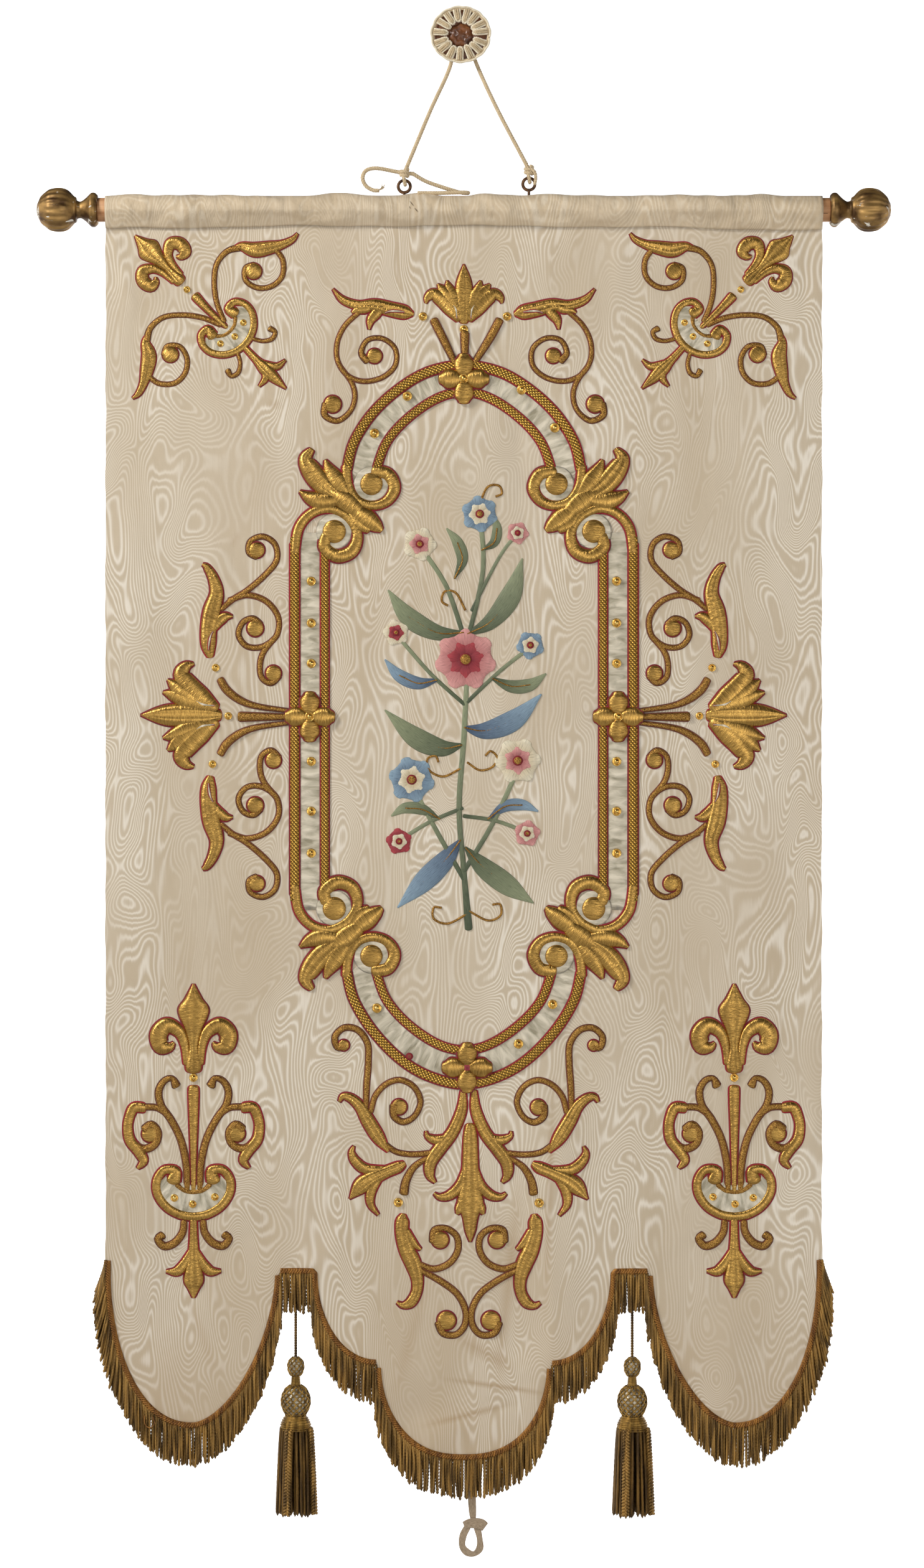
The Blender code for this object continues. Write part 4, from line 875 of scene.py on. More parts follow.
@dataclass(frozen=True)
class Fold:
    """A soft ridge (rise above 0) or trough in the cloth, along a line on the chart."""

    from_u: float
    from_v: float
    to_u: float
    to_v: float
    reach: float
    rise: float

    def lift(self, u: np.ndarray, v: np.ndarray) -> np.ndarray:
        """How far it pushes the cloth out at chart points, in millimetres."""
        along_u, along_v = self.to_u - self.from_u, self.to_v - self.from_v
        share = ((u - self.from_u) * along_u + (v - self.from_v) * along_v) / (along_u**2 + along_v**2)
        share = np.clip(share, 0.0, 1.0)
        away = np.hypot(u - self.from_u - share * along_u, v - self.from_v - share * along_v)
        return self.rise * np.exp(-((away / self.reach) ** 2))


FOLDS = tuple(Fold(*row) for row in (
    (80, 380, 100, 120, 42, -2.4), (112, -520, 120, -830, 40, 3.6), (60, -600, 66, -800, 36, -2.6),
    (-70, -880, 60, -850, 26, -3.6), (-40, -905, 90, -815, 24, 3.0), (-250, -640, -330, -700, 34, -2.4),
    (260, -660, 340, -700, 34, -2.6), (330, -780, 338, -860, 30, 3.0), (-400, -560, -420, -720, 34, 2.6),
    (410, 520, 380, 300, 60, 2.2), (-430, 200, -420, -300, 60, 2.4), (430, 60, 424, -460, 60, -2.4),
    (68, 372, 84, 130, 9, -0.8), (104, -560, 112, -800, 10, 1.0), (-30, -862, 92, -846, 7, 0.9),
    (-60, -886, 40, -872, 6, -0.8), (20, -900, 86, -862, 6, 0.7), (-232, -690, -270, -640, 8, 1.0),
    (-212, -690, -214, -620, 9, -0.9), (-192, -690, -150, -640, 8, 0.9), (232, -690, 280, -646, 8, 1.0),
    (212, -690, 210, -610, 9, -0.9), (192, -690, 158, -636, 8, 0.9), (-440, 612, -420, 520, 8, 0.8),
    (436, 612, 428, 500, 9, -0.9), (-446, -520, -420, -640, 8, 0.8), (444, -500, 420, -660, 8, 0.8),
    (200, 612, 196, 540, 10, 0.7), (-90, 612, -96, 560, 10, 0.6),
))


@dataclass(frozen=True)
class ClothForm:
    """The hung cloth's outline and folds on the chart."""

    half_width: float = 453.0
    seam_v: float = 622.0
    tuck: float = 8.0
    notch_outer: float = 232.0
    notch_inner: float = 192.0
    step_u: float = 111.5
    notch_v: float = -699.0
    step_v: float = -814.5
    lobe_v: float = -894.0
    centre_v: float = -934.0
    edge_v: float = -682.0
    swell: float = 2.2
    swell_length: float = 640.0
    skin: float = 1.1

    def hem(self, u: np.ndarray) -> np.ndarray:
        """The hem's height: a deep centre lobe, shoulders, notches and two side lobes."""
        u = np.minimum(np.abs(np.asarray(u, float)), self.half_width)
        drop = self.centre_v - self.step_v
        centre = self.step_v + drop * (1 - np.minimum(u / self.step_u, 1) ** 2.4) ** 0.5
        share = np.clip((self.notch_inner - u) / (self.notch_inner - self.step_u), 0, 1)
        shoulder = self.notch_v + (self.step_v - self.notch_v) * (1 - (1 - share) ** 2) ** 0.5
        middle = (self.notch_outer + self.half_width) / 2
        share = np.minimum(1.0, np.abs(u - middle) / (self.half_width - middle))
        shape = np.where(u < middle, (1 - share**1.7) ** 0.6, (1 - share**2.2) ** 0.5)
        lobe = self.notch_v + (self.lobe_v - self.notch_v) * shape
        ends = [u <= self.step_u, u <= self.notch_inner, u <= self.notch_outer]
        return np.select(ends, [centre, shoulder, np.full_like(u, self.notch_v)], lobe)

    def rise(self, u: np.ndarray, v: np.ndarray) -> np.ndarray:
        """How far the folds push the cloth out, in millimetres."""
        hang = np.clip((self.seam_v - v) / 500.0, 0.0, 1.0)
        rise = self.swell * hang * np.sin(2 * math.pi * u / self.swell_length + 0.5)
        for fold in FOLDS:
            rise = rise + fold.lift(u, v)
        return rise

    def front(self, u: np.ndarray, v: np.ndarray) -> np.ndarray:
        """The y of the cloth's front face, in metres."""
        return PLANE_Y - (self.skin + self.rise(u, v)) * MM

    def world(self, u: np.ndarray, v: np.ndarray, h: np.ndarray) -> np.ndarray:
        """Chart points, h millimetres in front of the cloth, in the row's frame."""
        return np.stack([BANNER_X + u * MM, self.front(u, v) - h * MM, CHART_Z + v * MM], -1)

    def hem_line(self, start: float, end: float, step: float) -> np.ndarray:
        """Evenly spaced chart points along the hem from one column to another."""
        u = np.linspace(start, end, 4000)
        line = np.stack([u, self.hem(u)], -1)
        if start <= -self.half_width:
            line = np.vstack([[(start, self.edge_v)], line])
        if end >= self.half_width:
            line = np.vstack([line, [(end, self.edge_v)]])
        far = lengths(line)
        stations = np.linspace(0, far[-1], max(2, round(far[-1] / step) + 1))
        return np.stack([np.interp(stations, far, line[:, 0]), np.interp(stations, far, line[:, 1])], -1)


CLOTH = ClothForm()


@dataclass
class BannerCloth:
    """The watered silk sheet with its scalloped hem."""

    columns: int = 230
    rows: int = 176
    thick: float = 1.6
    pucker: float = 0.35

    def column_places(self) -> np.ndarray:
        """Columns that lie closer where the hem is steep."""
        u = np.linspace(-CLOTH.half_width, CLOTH.half_width, 6001)
        far = lengths(np.stack([u, CLOTH.hem(u)], -1))
        even = (far / far[-1] + np.linspace(0, 1, len(u))) / 2
        return np.interp(np.linspace(0, 1, self.columns + 1), even, u)

    def build(self) -> bpy.types.Object:
        places = self.column_places()
        down = np.linspace(0, 1, self.rows + 1)[:, None]
        hem = CLOTH.hem(places)[None]
        top = CLOTH.seam_v + CLOTH.tuck + 4.0 * np.cos(places / CLOTH.half_width * 1.4)[None]
        v = hem + (top - hem) * down
        u = np.broadcast_to(places, v.shape)
        ripple = np.sin(v / 31.0 + 1.1) * np.sin(v / 13.0) * 0.8
        u = u + ripple * np.clip((np.abs(u) - 420) / 33, 0, 1) * np.sign(u)
        small = np.sin(u / 23 + 2.1 * np.sin(v / 61)) * np.sin(v / 37 + 1.7 * np.sin(u / 47)) * self.pucker
        front = CLOTH.world(u, v, small)
        back = front + np.array([0.0, self.thick * MM, 0.0])
        shape = Shape()
        shape.sheet(back, front, BANNER_SILK)
        sheet = shape.piece("watered_silk_cloth", "watered_silk", "banner_cloth")
        width, length = 2 * CLOTH.half_width * MM, (top.max() - CLOTH.centre_v) * MM
        tall = (top - hem)[0]
        area = float(np.sum((tall[1:] + tall[:-1]) / 2 * np.diff(places))) * MM**2
        return sheet


@dataclass
class Heading:
    """The sleeve of darker silk that the pole runs through, gathered a little along it."""

    thick: float = 1.2
    radius: float = 16.7
    columns: int = 260
    round_steps: int = 36
    half_foot: float = 2.6

    def build(self) -> bpy.types.Object:
        """Makes the sleeve as a thin closed sheet, open at the bottom over the cloth's top edge."""
        low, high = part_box("pole_sleeve")
        x = np.linspace(low.x, high.x, self.columns + 1)[:, None]
        drop = (POLE_Z - low.z) / MM
        foot = self.half_foot
        turns = np.linspace(math.radians(190), math.radians(-10), self.round_steps)
        flank = np.linspace(0.0, 1.0, 9)[:-1]
        over = np.stack([self.radius * np.cos(turns), self.radius * np.sin(turns)], -1)
        left = np.stack([-foot + (over[0, 0] + foot) * flank, -drop + (over[0, 1] + drop) * flank], -1)
        line = np.vstack([left, over, left[::-1] * np.array([-1.0, 1.0])])
        far = lengths(line)
        out = flat_frames(line)[1]
        u = (x - BANNER_X) / MM
        wrinkle = (
            0.9 * np.sin(u / 17 + far / 9 + 2.2 * np.sin(u / 83))
            + 0.6 * np.sin(u / 41 - far / 7 + 1.3 * np.sin(u / 29))
            + 0.35 * np.sin(u / 7.3 + far / 5 + 2.0 * np.sin(u / 51))
            + 0.9 * np.sin(u / 67 + far / 19 + 1.9 * np.sin(u / 119)) * np.sin(u / 31 - far / 23)
        ) * np.clip(far / 14, 0.15, 1) * np.clip((far[-1] - far) / 14, 0.15, 1) * 1.35
        seam = 5.6 * np.cos(u / CLOTH.half_width * 1.45) - 1.3 * u / CLOTH.half_width
        seam = seam + 0.9 * np.sin(u / 37 + 1)
        seam = seam + 0.5 * np.sin(u / 13 + 2 * np.sin(u / 91))
        fall = np.clip(-line[:, 1] / drop, 0, 1) ** 2
        layers = []
        for depth in (self.thick / 2, -self.thick / 2):
            reach = depth + np.clip(wrinkle + 1.1, 0.35, 4.0)
            y = PLANE_Y + (line[:, 0] + out[:, 0] * reach) * MM
            z = POLE_Z + (line[:, 1] + out[:, 1] * reach + seam * fall) * MM
            layers.append(np.stack([np.broadcast_to(x, y.shape), y, z], -1))
        shape = Shape()
        shape.sheet(*layers, HEADING_SILK)
        sheet = shape.piece("heading_sleeve", "heading_silk", "pole_sleeve")
        return sheet


class Stitch(Enum):
    """How a stroke of the goldwork is worked."""

    SMOOTH = "satin stitch over padding"
    LEAF = "satin stitch over padding, with a vein"
    GRAIN = "chips of purl"
    BRAID = "flat braid"
    INLAY = "pale satin"
    PETAL = "long and short stitch"
    SLIT = "a gap that shows the cloth"

    def __call__(self, *ways: Sequence[float]) -> Stroke:
        """A stroke worked so, where a row of two numbers keeps the half width of the row before it."""
        rows: list[Row] = []
        for way in ways:
            rows.append((way[0], way[1], way[2] if len(way) > 2 else rows[-1][2]))
        return Stroke(self, tuple(rows))


@dataclass(frozen=True)
class Work:
    """The relief that a kind of stitch gives: its height, its roundness and its grain."""

    finish: Finish
    slope: float
    base: float
    most: float
    step: float
    across: int
    vein: float = 0.0
    rough: float = 0.0
    plait: float = 0.0
    edge: float = 1.7
    outline: Finish = CRIMSON_EDGE


WORKS = {
    Stitch.SMOOTH: Work(PADDED_GOLD, 0.40, 0.6, 5.2, 1.5, 10),
    Stitch.LEAF: Work(PADDED_GOLD, 0.40, 0.6, 5.2, 1.5, 12, vein=0.42),
    Stitch.GRAIN: Work(CHIPPED_GOLD, 0.50, 0.5, 4.8, 1.2, 8, rough=0.22, edge=1.2, outline=BROWN_EDGE),
    Stitch.BRAID: Work(BRAIDED_GOLD, 0.30, 0.5, 2.2, 0.9, 12, plait=0.42),
    Stitch.INLAY: Work(PaleSatin(), 0.03, 0.35, 1.1, 2.5, 12, edge=0.0),
    Stitch.PETAL: Work(CREAM, 0.16, 0.7, 3.0, 1.5, 10, rough=0.10, edge=0.0),
    Stitch.SLIT: Work(PaleSatin(), 0.0, 5.4, 5.4, 1.5, 8, edge=0.9),
}


@dataclass(frozen=True)
class Stroke:
    """A stroke of goldwork: how it is worked, and rows of across, up and half width."""

    stitch: Stitch
    ways: tuple[Row, ...]
    finish: Finish | None = None


@dataclass(frozen=True)
class Motif:
    """Strokes, the strokes that are worked on both sides, and rows of across, up and radius for knobs
    and studs."""

    strokes: tuple[Stroke, ...] = ()
    both: tuple[Stroke, ...] = ()
    knobs: tuple[Row, ...] = ()
    studs: tuple[Row, ...] = ()

    def whole(self) -> Motif:
        """The motif with what is worked on both sides mirrored across its middle."""
        other = tuple(Stroke(s.stitch, tuple((-a, b, c) for a, b, c in s.ways), s.finish) for s in self.both)
        return Motif(self.strokes + self.both + other, (), self.knobs, self.studs)


@dataclass(frozen=True)
class Placing:
    """Where a motif goes on the chart: its origin, its turn in degrees, its size and its mirroring."""

    u: float = 0.0
    v: float = 0.0
    turn: float = 0.0
    size: float = 1.0
    flip: int = 1
    rise: int = 1

    def chart(self, points: np.ndarray) -> np.ndarray:
        """Moves rows of across, up and height onto the chart."""
        across = points[:, 0] * self.size * self.flip
        up = points[:, 1] * self.size * self.rise
        cos, sin = math.cos(math.radians(self.turn)), math.sin(math.radians(self.turn))
        u, v = self.u + across * cos - up * sin, self.v + across * sin + up * cos
        return np.stack([u, v, points[:, 2] * self.size], -1)


# A stud's height and radius, as shares of its radius, from the top down
STUD_PROFILE = (
    (0.68, 0.0), (0.67, 0.10), (0.62, 0.28), (0.50, 0.46), (0.30, 0.57), (0.20, 0.64), (0.24, 0.72),
    (0.36, 0.80), (0.34, 0.94), (0.10, 1.0), (0.0, 1.0),
)


class Relief:
    """Raised work gathered for one piece and laid on the cloth."""

    def __init__(self, seed: int, lift: float = 0.2) -> None:
        """Starts with nothing worked.

        Args:
            seed: What the small unevenness is drawn from.
            lift: How far in front of the cloth its back lies, in millimetres.
        """
        self.shape = Shape()
        self.lift = lift
        self.draw = np.random.default_rng(seed)
        self.level = 0.0

    def rounded(self, line: np.ndarray) -> np.ndarray:
        """Adds a round end wherever a stroke doesn't end in a point."""
        for first in (True, False):
            end, inner = (line[0], line[1]) if first else (line[-1], line[-2])
            if end[2] < 1.8:
                continue
            away = (end[:2] - inner[:2]) / max(np.linalg.norm(end[:2] - inner[:2]), 1e-6)
            turns = np.radians([35.0, 60.0, 78.0, 88.0])
            cap = np.column_stack([
                end[0] + away[0] * end[2] * 0.6 * np.sin(turns),
                end[1] + away[1] * end[2] * 0.6 * np.sin(turns),
                end[2] * np.cos(turns),
            ])
            line = np.vstack([cap[::-1], line]) if first else np.vstack([line, cap])
        return line

    def ribbon(
        self, line: np.ndarray, heights: np.ndarray, across: int, finish: Finish, work: Work, placing: Placing
    ) -> None:
        """Adds a domed ribbon along a line of across, up and half width.

        Args:
            line: The ribbon's middle line.
            heights: Its height at each point.
            across: How many steps it has across.
            finish: What covers it.
            work: Its vein, roughness and plait.
            placing: Where its motif goes.
        """
        normal = flat_frames(line)[1]
        t = np.sin(np.linspace(-math.pi / 2, math.pi / 2, across + 1))
        dome = np.maximum(0.0, 1 - np.abs(t) ** 2.3) ** 0.62
        dome = dome * (1 - work.vein * np.exp(-((t / 0.16) ** 2)))
        height = heights[:, None] * dome
        far = lengths(line[:, :2])
        width = t * line[:, 2:3]
        inside = (1 - t**2) > 1e-6
        if work.rough:
            bumps = self.draw.normal(0.0, 1.0, height.shape)
            height = height + bumps * work.rough * np.minimum(1, height) * inside
        if work.plait:
            turn = math.pi / BRAIDED_GOLD.repeat
            lattice = np.sin((far[:, None] + width) * turn) * np.sin((far[:, None] - width) * turn)
            height = height + np.abs(lattice) * work.plait * inside
        points = line[:, None, :2] + normal[:, None] * width[..., None]
        points = np.concatenate([points, height[..., None]], -1).reshape(-1, 3)
        place = np.broadcast_to(far[:, None], width.shape)
        stitch = np.stack([place, width, place / max(far[-1], 1e-6)], -1).reshape(-1, 3)
        self.lay(points, closed_faces(len(line), across + 1), stitch, finish, placing)

    def lay(
        self,
        points: np.ndarray,
        faces: Iterable[np.ndarray],
        stitch: np.ndarray,
        finish: Finish,
        placing: Placing,
    ) -> None:
        """Lays a part's points on the cloth, its faces turned to point out."""
        chart = placing.chart(points)
        height = chart[:, 2] + self.lift + self.level
        if placing.flip * placing.rise < 0:
            faces = turned_over(faces)
        self.shape.add(CLOTH.world(chart[:, 0], chart[:, 1], height), faces, stitch, finish)
        self.level = (self.level + 0.013) % 0.12

    def stroke(self, stroke: Stroke, placing: Placing, edged: bool = True) -> None:
        """Works one stroke, over a thin crimson edge where it has one."""
        work = WORKS[stroke.stitch]
        ends = self.rounded(np.asarray(stroke.ways, float))
        line = smooth_line(ends, work.step)
        line[:, 2] = np.maximum(line[:, 2], 0.25)
        heights = np.minimum(work.slope * line[:, 2] + work.base, work.most)
        self.ribbon(line, heights, work.across, stroke.finish or work.finish, work, placing)
        if edged and work.edge:
            border = smooth_line(ends, 2.4)
            border[:, 2] = np.maximum(border[:, 2], 0.2) + work.edge
            low = np.full(len(border), 0.85 if work.slope else work.base - 0.15)
            self.ribbon(border, low, 6, work.outline, WORKS[Stitch.INLAY], placing)

    def disc(
        self,
        place: Row,
        profile: Sequence[Sequence[float]],
        finish: Finish,
        placing: Placing,
        sides: int = 28,
    ) -> None:
        """Adds a turned part that stands on the cloth.

        Args:
            place: Its across, up and radius.
            profile: Rows of height and radius as shares of the radius, from the top down.
            finish: What covers it.
            placing: Where its motif goes.
            sides: How many sides it has.
        """
        across, up, radius = place
        rows = np.asarray(profile, float)
        angle = np.arange(sides) * 2 * math.pi / sides
        reach = rows[:, 1:2] * radius + 1e-3
        x, y = across + reach * np.cos(angle), up + reach * np.sin(angle)
        height = np.broadcast_to(rows[:, :1] * radius, x.shape)
        points = np.stack([x, y, height], -1).reshape(-1, 3)
        stitch = np.stack([y - up, x - across, np.broadcast_to(rows[:, 1:2], x.shape)], -1).reshape(-1, 3)
        self.lay(points, closed_faces(len(rows), sides), stitch, finish, placing)

    def knob(self, place: Row, placing: Placing, finish: Finish = PADDED_GOLD) -> None:
        """Works a round padded knob over its crimson edge."""
        turns = np.linspace(0, math.pi / 2, 9)
        dome = np.column_stack([0.34 * np.cos(turns) ** 0.8, np.sin(turns)])
        self.disc(place, dome, finish, placing)
        rim = (place[0], place[1], place[2] + 1.6)
        self.disc(rim, ((0.75 / rim[2], 0.0), (0.75 / rim[2], 0.96), (0.0, 1.0)), CRIMSON_EDGE, placing)

    def stud(self, place: Row, placing: Placing) -> None:
        """Sews on a domed gilt stud with a raised rim."""
        self.disc(place, STUD_PROFILE, STUD_METAL, placing, 24)

    def motif(self, motif: Motif, placing: Placing) -> None:
        """Works a whole motif."""
        whole = motif.whole()
        for stroke in whole.strokes:
            self.stroke(stroke, placing)
        for knob in whole.knobs:
            self.knob(knob, placing)
        for stud in whole.studs:
            self.stud(stud, placing)


SMOOTH, LEAF, GRAIN, BRAID, INLAY, PETAL, SLIT = Stitch

# The frame: its arches from the crown to the left foot, then its upper left quarter
ARCH_TOP = ((0, 450, 5.8), (-44, 442, 5.8), (-81, 421, 5.8), (-115, 390, 5.8), (-139, 353, 5.8),
            (-148, 318, 5.8))
ARCH_BOTTOM = ((0, 459, 5.8), (-44, 449, 5.8), (-81, 427, 5.8), (-115, 392, 5.8), (-139, 353, 5.8),
            (-148, 318, 5.8))
ARCH_INNER = ((0, 416, 5.0), (-34, 408, 5.0), (-71, 383, 5.0), (-98, 352, 5.0), (-112, 314, 5.0))
ARCH_SATIN = ((0, 433, 16), (-39, 425, 16), (-76, 402, 16), (-107, 370, 17), (-129, 318, 18))
SIDE_OUTER = BRAID((-214, 224, 5.8), (-214, 110), (-214, 0), (-214, -110), (-214, -219))
SIDE_INNER = BRAID((-176, 214, 5), (-176, 107), (-176, 0), (-176, -104), (-176, -209))
ARCH_VOLUTE = SMOOTH((-149, 322, 5.5), (-146, 297, 6), (-134, 279), (-115, 273), (-97, 279, 6.5),
                     (-88, 295, 7.5), (-96, 312, 8), (-113, 316, 7.5))
ARCH_BOSS = (-117, 300, 14.5)
BAND_VOLUTE = SMOOTH((-214, 214, 5.5), (-209, 244, 6), (-193, 263), (-170, 269), (-147, 258),
                     (-135, 237, 6.5), (-141, 216, 8), (-160, 209, 8.5), (-176, 220, 8), (-174, 234, 7.5))
BAND_BOSS = (-164, 240, 15)
ACANTHUS = (
    SMOOTH((-160, 280, 8), (-180, 279, 12), (-195, 283, 8.5), (-208, 291, 1.5)),
    SMOOTH((-150, 290, 8), (-161, 304, 12), (-170, 318, 8), (-175, 330, 2)),
    LEAF((-158, 284, 8), (-178, 299, 13), (-193, 317, 12.5), (-200, 332, 8.5), (-193, 343, 4)),
    SMOOTH((-166, 289, 8), (-150, 279, 13.5), (-135, 267, 10.5)),
    SMOOTH((-139, 268, 8), (-124, 257, 12.5), (-111, 247, 8.5), (-105, 242, 4)),
    SMOOTH((-143, 262, 5), (-134, 250, 8), (-121, 243, 5.5)),
)
LINING = ((0.0375, 0.0), (0.0375, 0.9), (0.0, 1.0))
FRAME_STUDS = (
    *((u, v, 6) for u in (-193, 193) for v in (177, 124, 73, -51, -114, -167)),
    (-71.5, 411, 6.2), (-113, 364, 6.2), (73, 419, 6.2), (115, 371, 6.2),
    (-110, -363, 6.2), (112, -358, 6.2), (69, -408, 6.2),
)
SIDE_STEMS = (
    GRAIN((-308, 47, 4), (-300, 34, 4.5), (-283, 21, 4), (-260, 13, 3), (-216, 7, 2)),
    GRAIN((-308, -47, 4), (-300, -34, 4.5), (-283, -21, 4), (-260, -13, 3), (-216, -7, 2)),
    GRAIN((-283, 0, 5.5), (-254, 0, 4.5), (-216, 0, 3)),
)
TOP_STEMS = (
    GRAIN((-38, 507, 4.5), (-26, 483), (-10, 450, 3)),
    GRAIN((45, 507, 4.5), (32, 483), (11, 450, 3)),
    GRAIN((1, 490, 5), (1, 450, 3)),
)
QUATREFOIL_PETAL = SMOOTH((0, 2, 4), (0, 7, 9), (0, 14, 12.2), (0, 22), (0, 28, 7.5))

FLEUR = Motif(
    (
        LEAF((0, 0, 10), (0, 8), (0, 28, 6), (0, 48, 10.5), (0, 74, 19.5), (0, 90, 10.5), (0, 108, 1)),
    ),
    (
        SMOOTH((9, 7, 4), (11, 30, 5.5), (18, 47, 7.5), (33, 55, 10), (44, 44, 11), (41, 29, 10),
               (30, 28, 6), (25, 33, 2)),
    ),
)
CUP_RIM = (
    SMOOTH((25, 21, 9), (23, 33, 6.5), (37, 34, 5.5), (46, 21), (45, 4), (34, -12), (17, -22), (0, -25)),
    GRAIN((21, 15, 3), (11, 8), (0, 6)),
)
CUP_FILL = INLAY((-38, 12, 16), (-20, 0, 20), (0, -3, 22), (20, 0, 20), (38, 12, 16))
SMALL_FLEUR = LEAF((0, -30, 4.5), (0, -56, 5.5), (0, -80, 8), (0, -105, 12.5), (0, -118, 6.5), (0, -127, 2))
SMALL_FLEUR_SIDE = SMOOTH((3, -68, 3.5), (11, -84, 6), (21, -94), (35, -94, 1.5))
LOWER_CUP = Motif(
    (
        CUP_FILL,
        SMOOTH((0, 138, 6.5), (0, 122), (0, 64, 4.5), (0, 8, 3)),
        SMALL_FLEUR,
    ),
    (
        *CUP_RIM,
        SMALL_FLEUR_SIDE,
        GRAIN((12, -31, 3.5), (14, -45, 4), (24, -58, 4.5), (37, -62), (45, -53, 4), (39, -48, 4.5)),
        GRAIN((8, 10, 3.5), (9, 40, 4), (16, 72), (28, 97), (41, 116), (44, 134), (37, 147, 3.5),
              (27, 150, 3), (22, 141, 5)),
        GRAIN((33, 105, 3.5), (46, 113), (63, 114)),
        SMOOTH((63, 113, 6), (75, 113, 6.5), (81, 101, 6), (83, 88), (80, 72, 6.5), (69, 58), (63, 46, 5.5),
               (70, 37, 2)),
        GRAIN((77, 69, 4), (63, 61, 4.5), (49, 67), (45, 81), (53, 91, 5), (61, 85, 6)),
    ),
    ((55, 80, 10.5), (-55, 80, 10.5)),
    ((-24, -1, 5), (-1, -9, 5), (27, 0, 5), (0, 151, 5.5)),
)
UPPER_CUP = Motif(
    (
        CUP_FILL,
        SMOOTH((0, 84, 7), (-1, 55, 5.5), (0, 15, 3.5)),
        LEAF((-2, -28, 4.5), (-3, -55, 6), (-3, -74, 10), (-3, -93, 8.5), (-2, -121, 1)),
    ),
    (
        *CUP_RIM,
        SMOOTH((2, -67, 4), (12, -85, 5.5), (30, -88, 1.5)),
        GRAIN((16, -26, 2.5), (25, -41), (38, -49, 3), (49, -45), (47, -35, 4)),
        GRAIN((4, 24, 3.5), (16, 52), (35, 77), (59, 96), (85, 99, 4), (104, 89, 5)),
        LEAF((98, 94, 3), (108, 87, 7), (119, 69, 11.5), (138, 55, 10), (155, 45, 6.5), (172, 39, 4.5),
             (185, 40, 1.5)),
        GRAIN((142, 49, 3.5), (138, 27), (120, 10), (97, 10), (79, 24), (74, 45), (87, 59, 4),
              (101, 53, 4.5)),
    ),
    ((93, 47, 13), (-93, 47, 13)),
    ((24, 1, 5.5), (-1, -5, 5.5), (-25, 3, 5.5), (-2, 101, 5.5)),
)
PALMETTE = Motif(
    (
        LEAF((0, -1, 7), (0, 15, 13.5), (0, 38, 15), (0, 61, 14), (0, 78, 9.5), (0, 98, 0.5)),
    ),
    (
        SMOOTH((14, 18, 11), (20, 40, 13), (26, 58, 7.5), (29, 70, 1)),
        SMOOTH((12, 20, 11), (25, 40, 13), (37, 54, 8.5), (45, 64, 1)),
        SMOOTH((8, 6, 9.5), (21, 22, 14), (37, 37, 13), (52, 46, 10), (62, 40, 6.5), (65, 31, 2)),
        SLIT((12, 4, 0.8), (12.5, 11, 2.6), (14, 20, 3.0), (18, 27, 0.5)),
    ),
)
PENDANT = Motif(
    (
        LEAF((0, -512, 6.5), (0, -527, 9), (0, -564, 10.5), (0, -590, 13.5), (0, -611, 16.5), (0, -627, 10),
             (0, -645, 6.5), (0, -659, 1)),
    ),
    (
        SMOOTH((5, -560, 3), (12, -586, 6.5), (25, -599, 6), (38, -602, 4), (46, -597, 1.5)),
        SMOOTH((5, -598, 5.5), (13, -616, 6), (17, -624, 1.5)),
    ),
)
SIDE_SPRAY = Motif(
    (
        LEAF((-321, 77, 4.5), (-323, 90, 9), (-323, 110, 10), (-319, 133, 11), (-313, 156, 8.5),
             (-317, 175, 6.5), (-325, 189, 4.5), (-331, 193, 1.5)),
        SMOOTH((-317, 112, 5), (-309, 122, 6.5), (-301, 127, 5.5), (-292, 127, 1)),
        SMOOTH((-328, 118, 4), (-322, 134, 6.5), (-311, 148, 6), (-306, 156, 1)),
        SLIT((-323, 84, 0.6), (-322, 93, 2.4), (-320, 102, 1.6), (-317, 108, 0.5)),
        GRAIN((-307, 136, 2.5), (-293, 148, 3), (-274, 160), (-252, 179), (-237, 198), (-239, 218),
              (-254, 228), (-270, 222), (-272, 208), (-262, 203, 4)),
        GRAIN((-297, 147, 3), (-274, 154), (-250, 146), (-235, 126), (-237, 103), (-254, 89), (-274, 89),
              (-285, 103), (-280, 119), (-267, 124, 3.5), (-258, 116, 4.5)),
        GRAIN((-241, 98, 3), (-253, 83), (-258, 67), (-256, 50), (-244, 43, 3.5), (-234, 52)),
    ),
    (),
    ((-262, 211, 10), (-264, 112, 10.5), (-241, 55, 10)),
)
TOP_SPRAY = Motif(
    (
        LEAF((-65, 515, 3), (-74, 517, 8.5), (-92, 521, 9), (-112, 526, 8), (-133, 526, 6),
             (-153, 533, 4.5), (-166, 547, 1)),
        SMOOTH((-104, 524, 6), (-112, 515, 6.5), (-118, 507, 5), (-120, 495, 1)),
        SMOOTH((-112, 528, 4), (-124, 522, 6), (-136, 520, 4), (-142, 516, 1)),
        SLIT((-75, 517, 0.8), (-84, 518, 2.6), (-93, 518, 1.8), (-100, 516, 0.5)),
        GRAIN((-132, 518, 2.5), (-150, 501), (-160, 480), (-160, 457), (-148, 438), (-127, 430),
              (-103, 435), (-87, 450), (-87, 471), (-103, 484), (-122, 482), (-130, 466, 3),
              (-122, 456, 4.5)),
        GRAIN((-156, 448, 2.5), (-142, 428), (-138, 410), (-144, 392), (-160, 380, 3), (-176, 387, 3.5),
              (-174, 401, 5)),
    ),
    (),
    ((-113, 462, 9.5), (-166, 401, 11)),
)
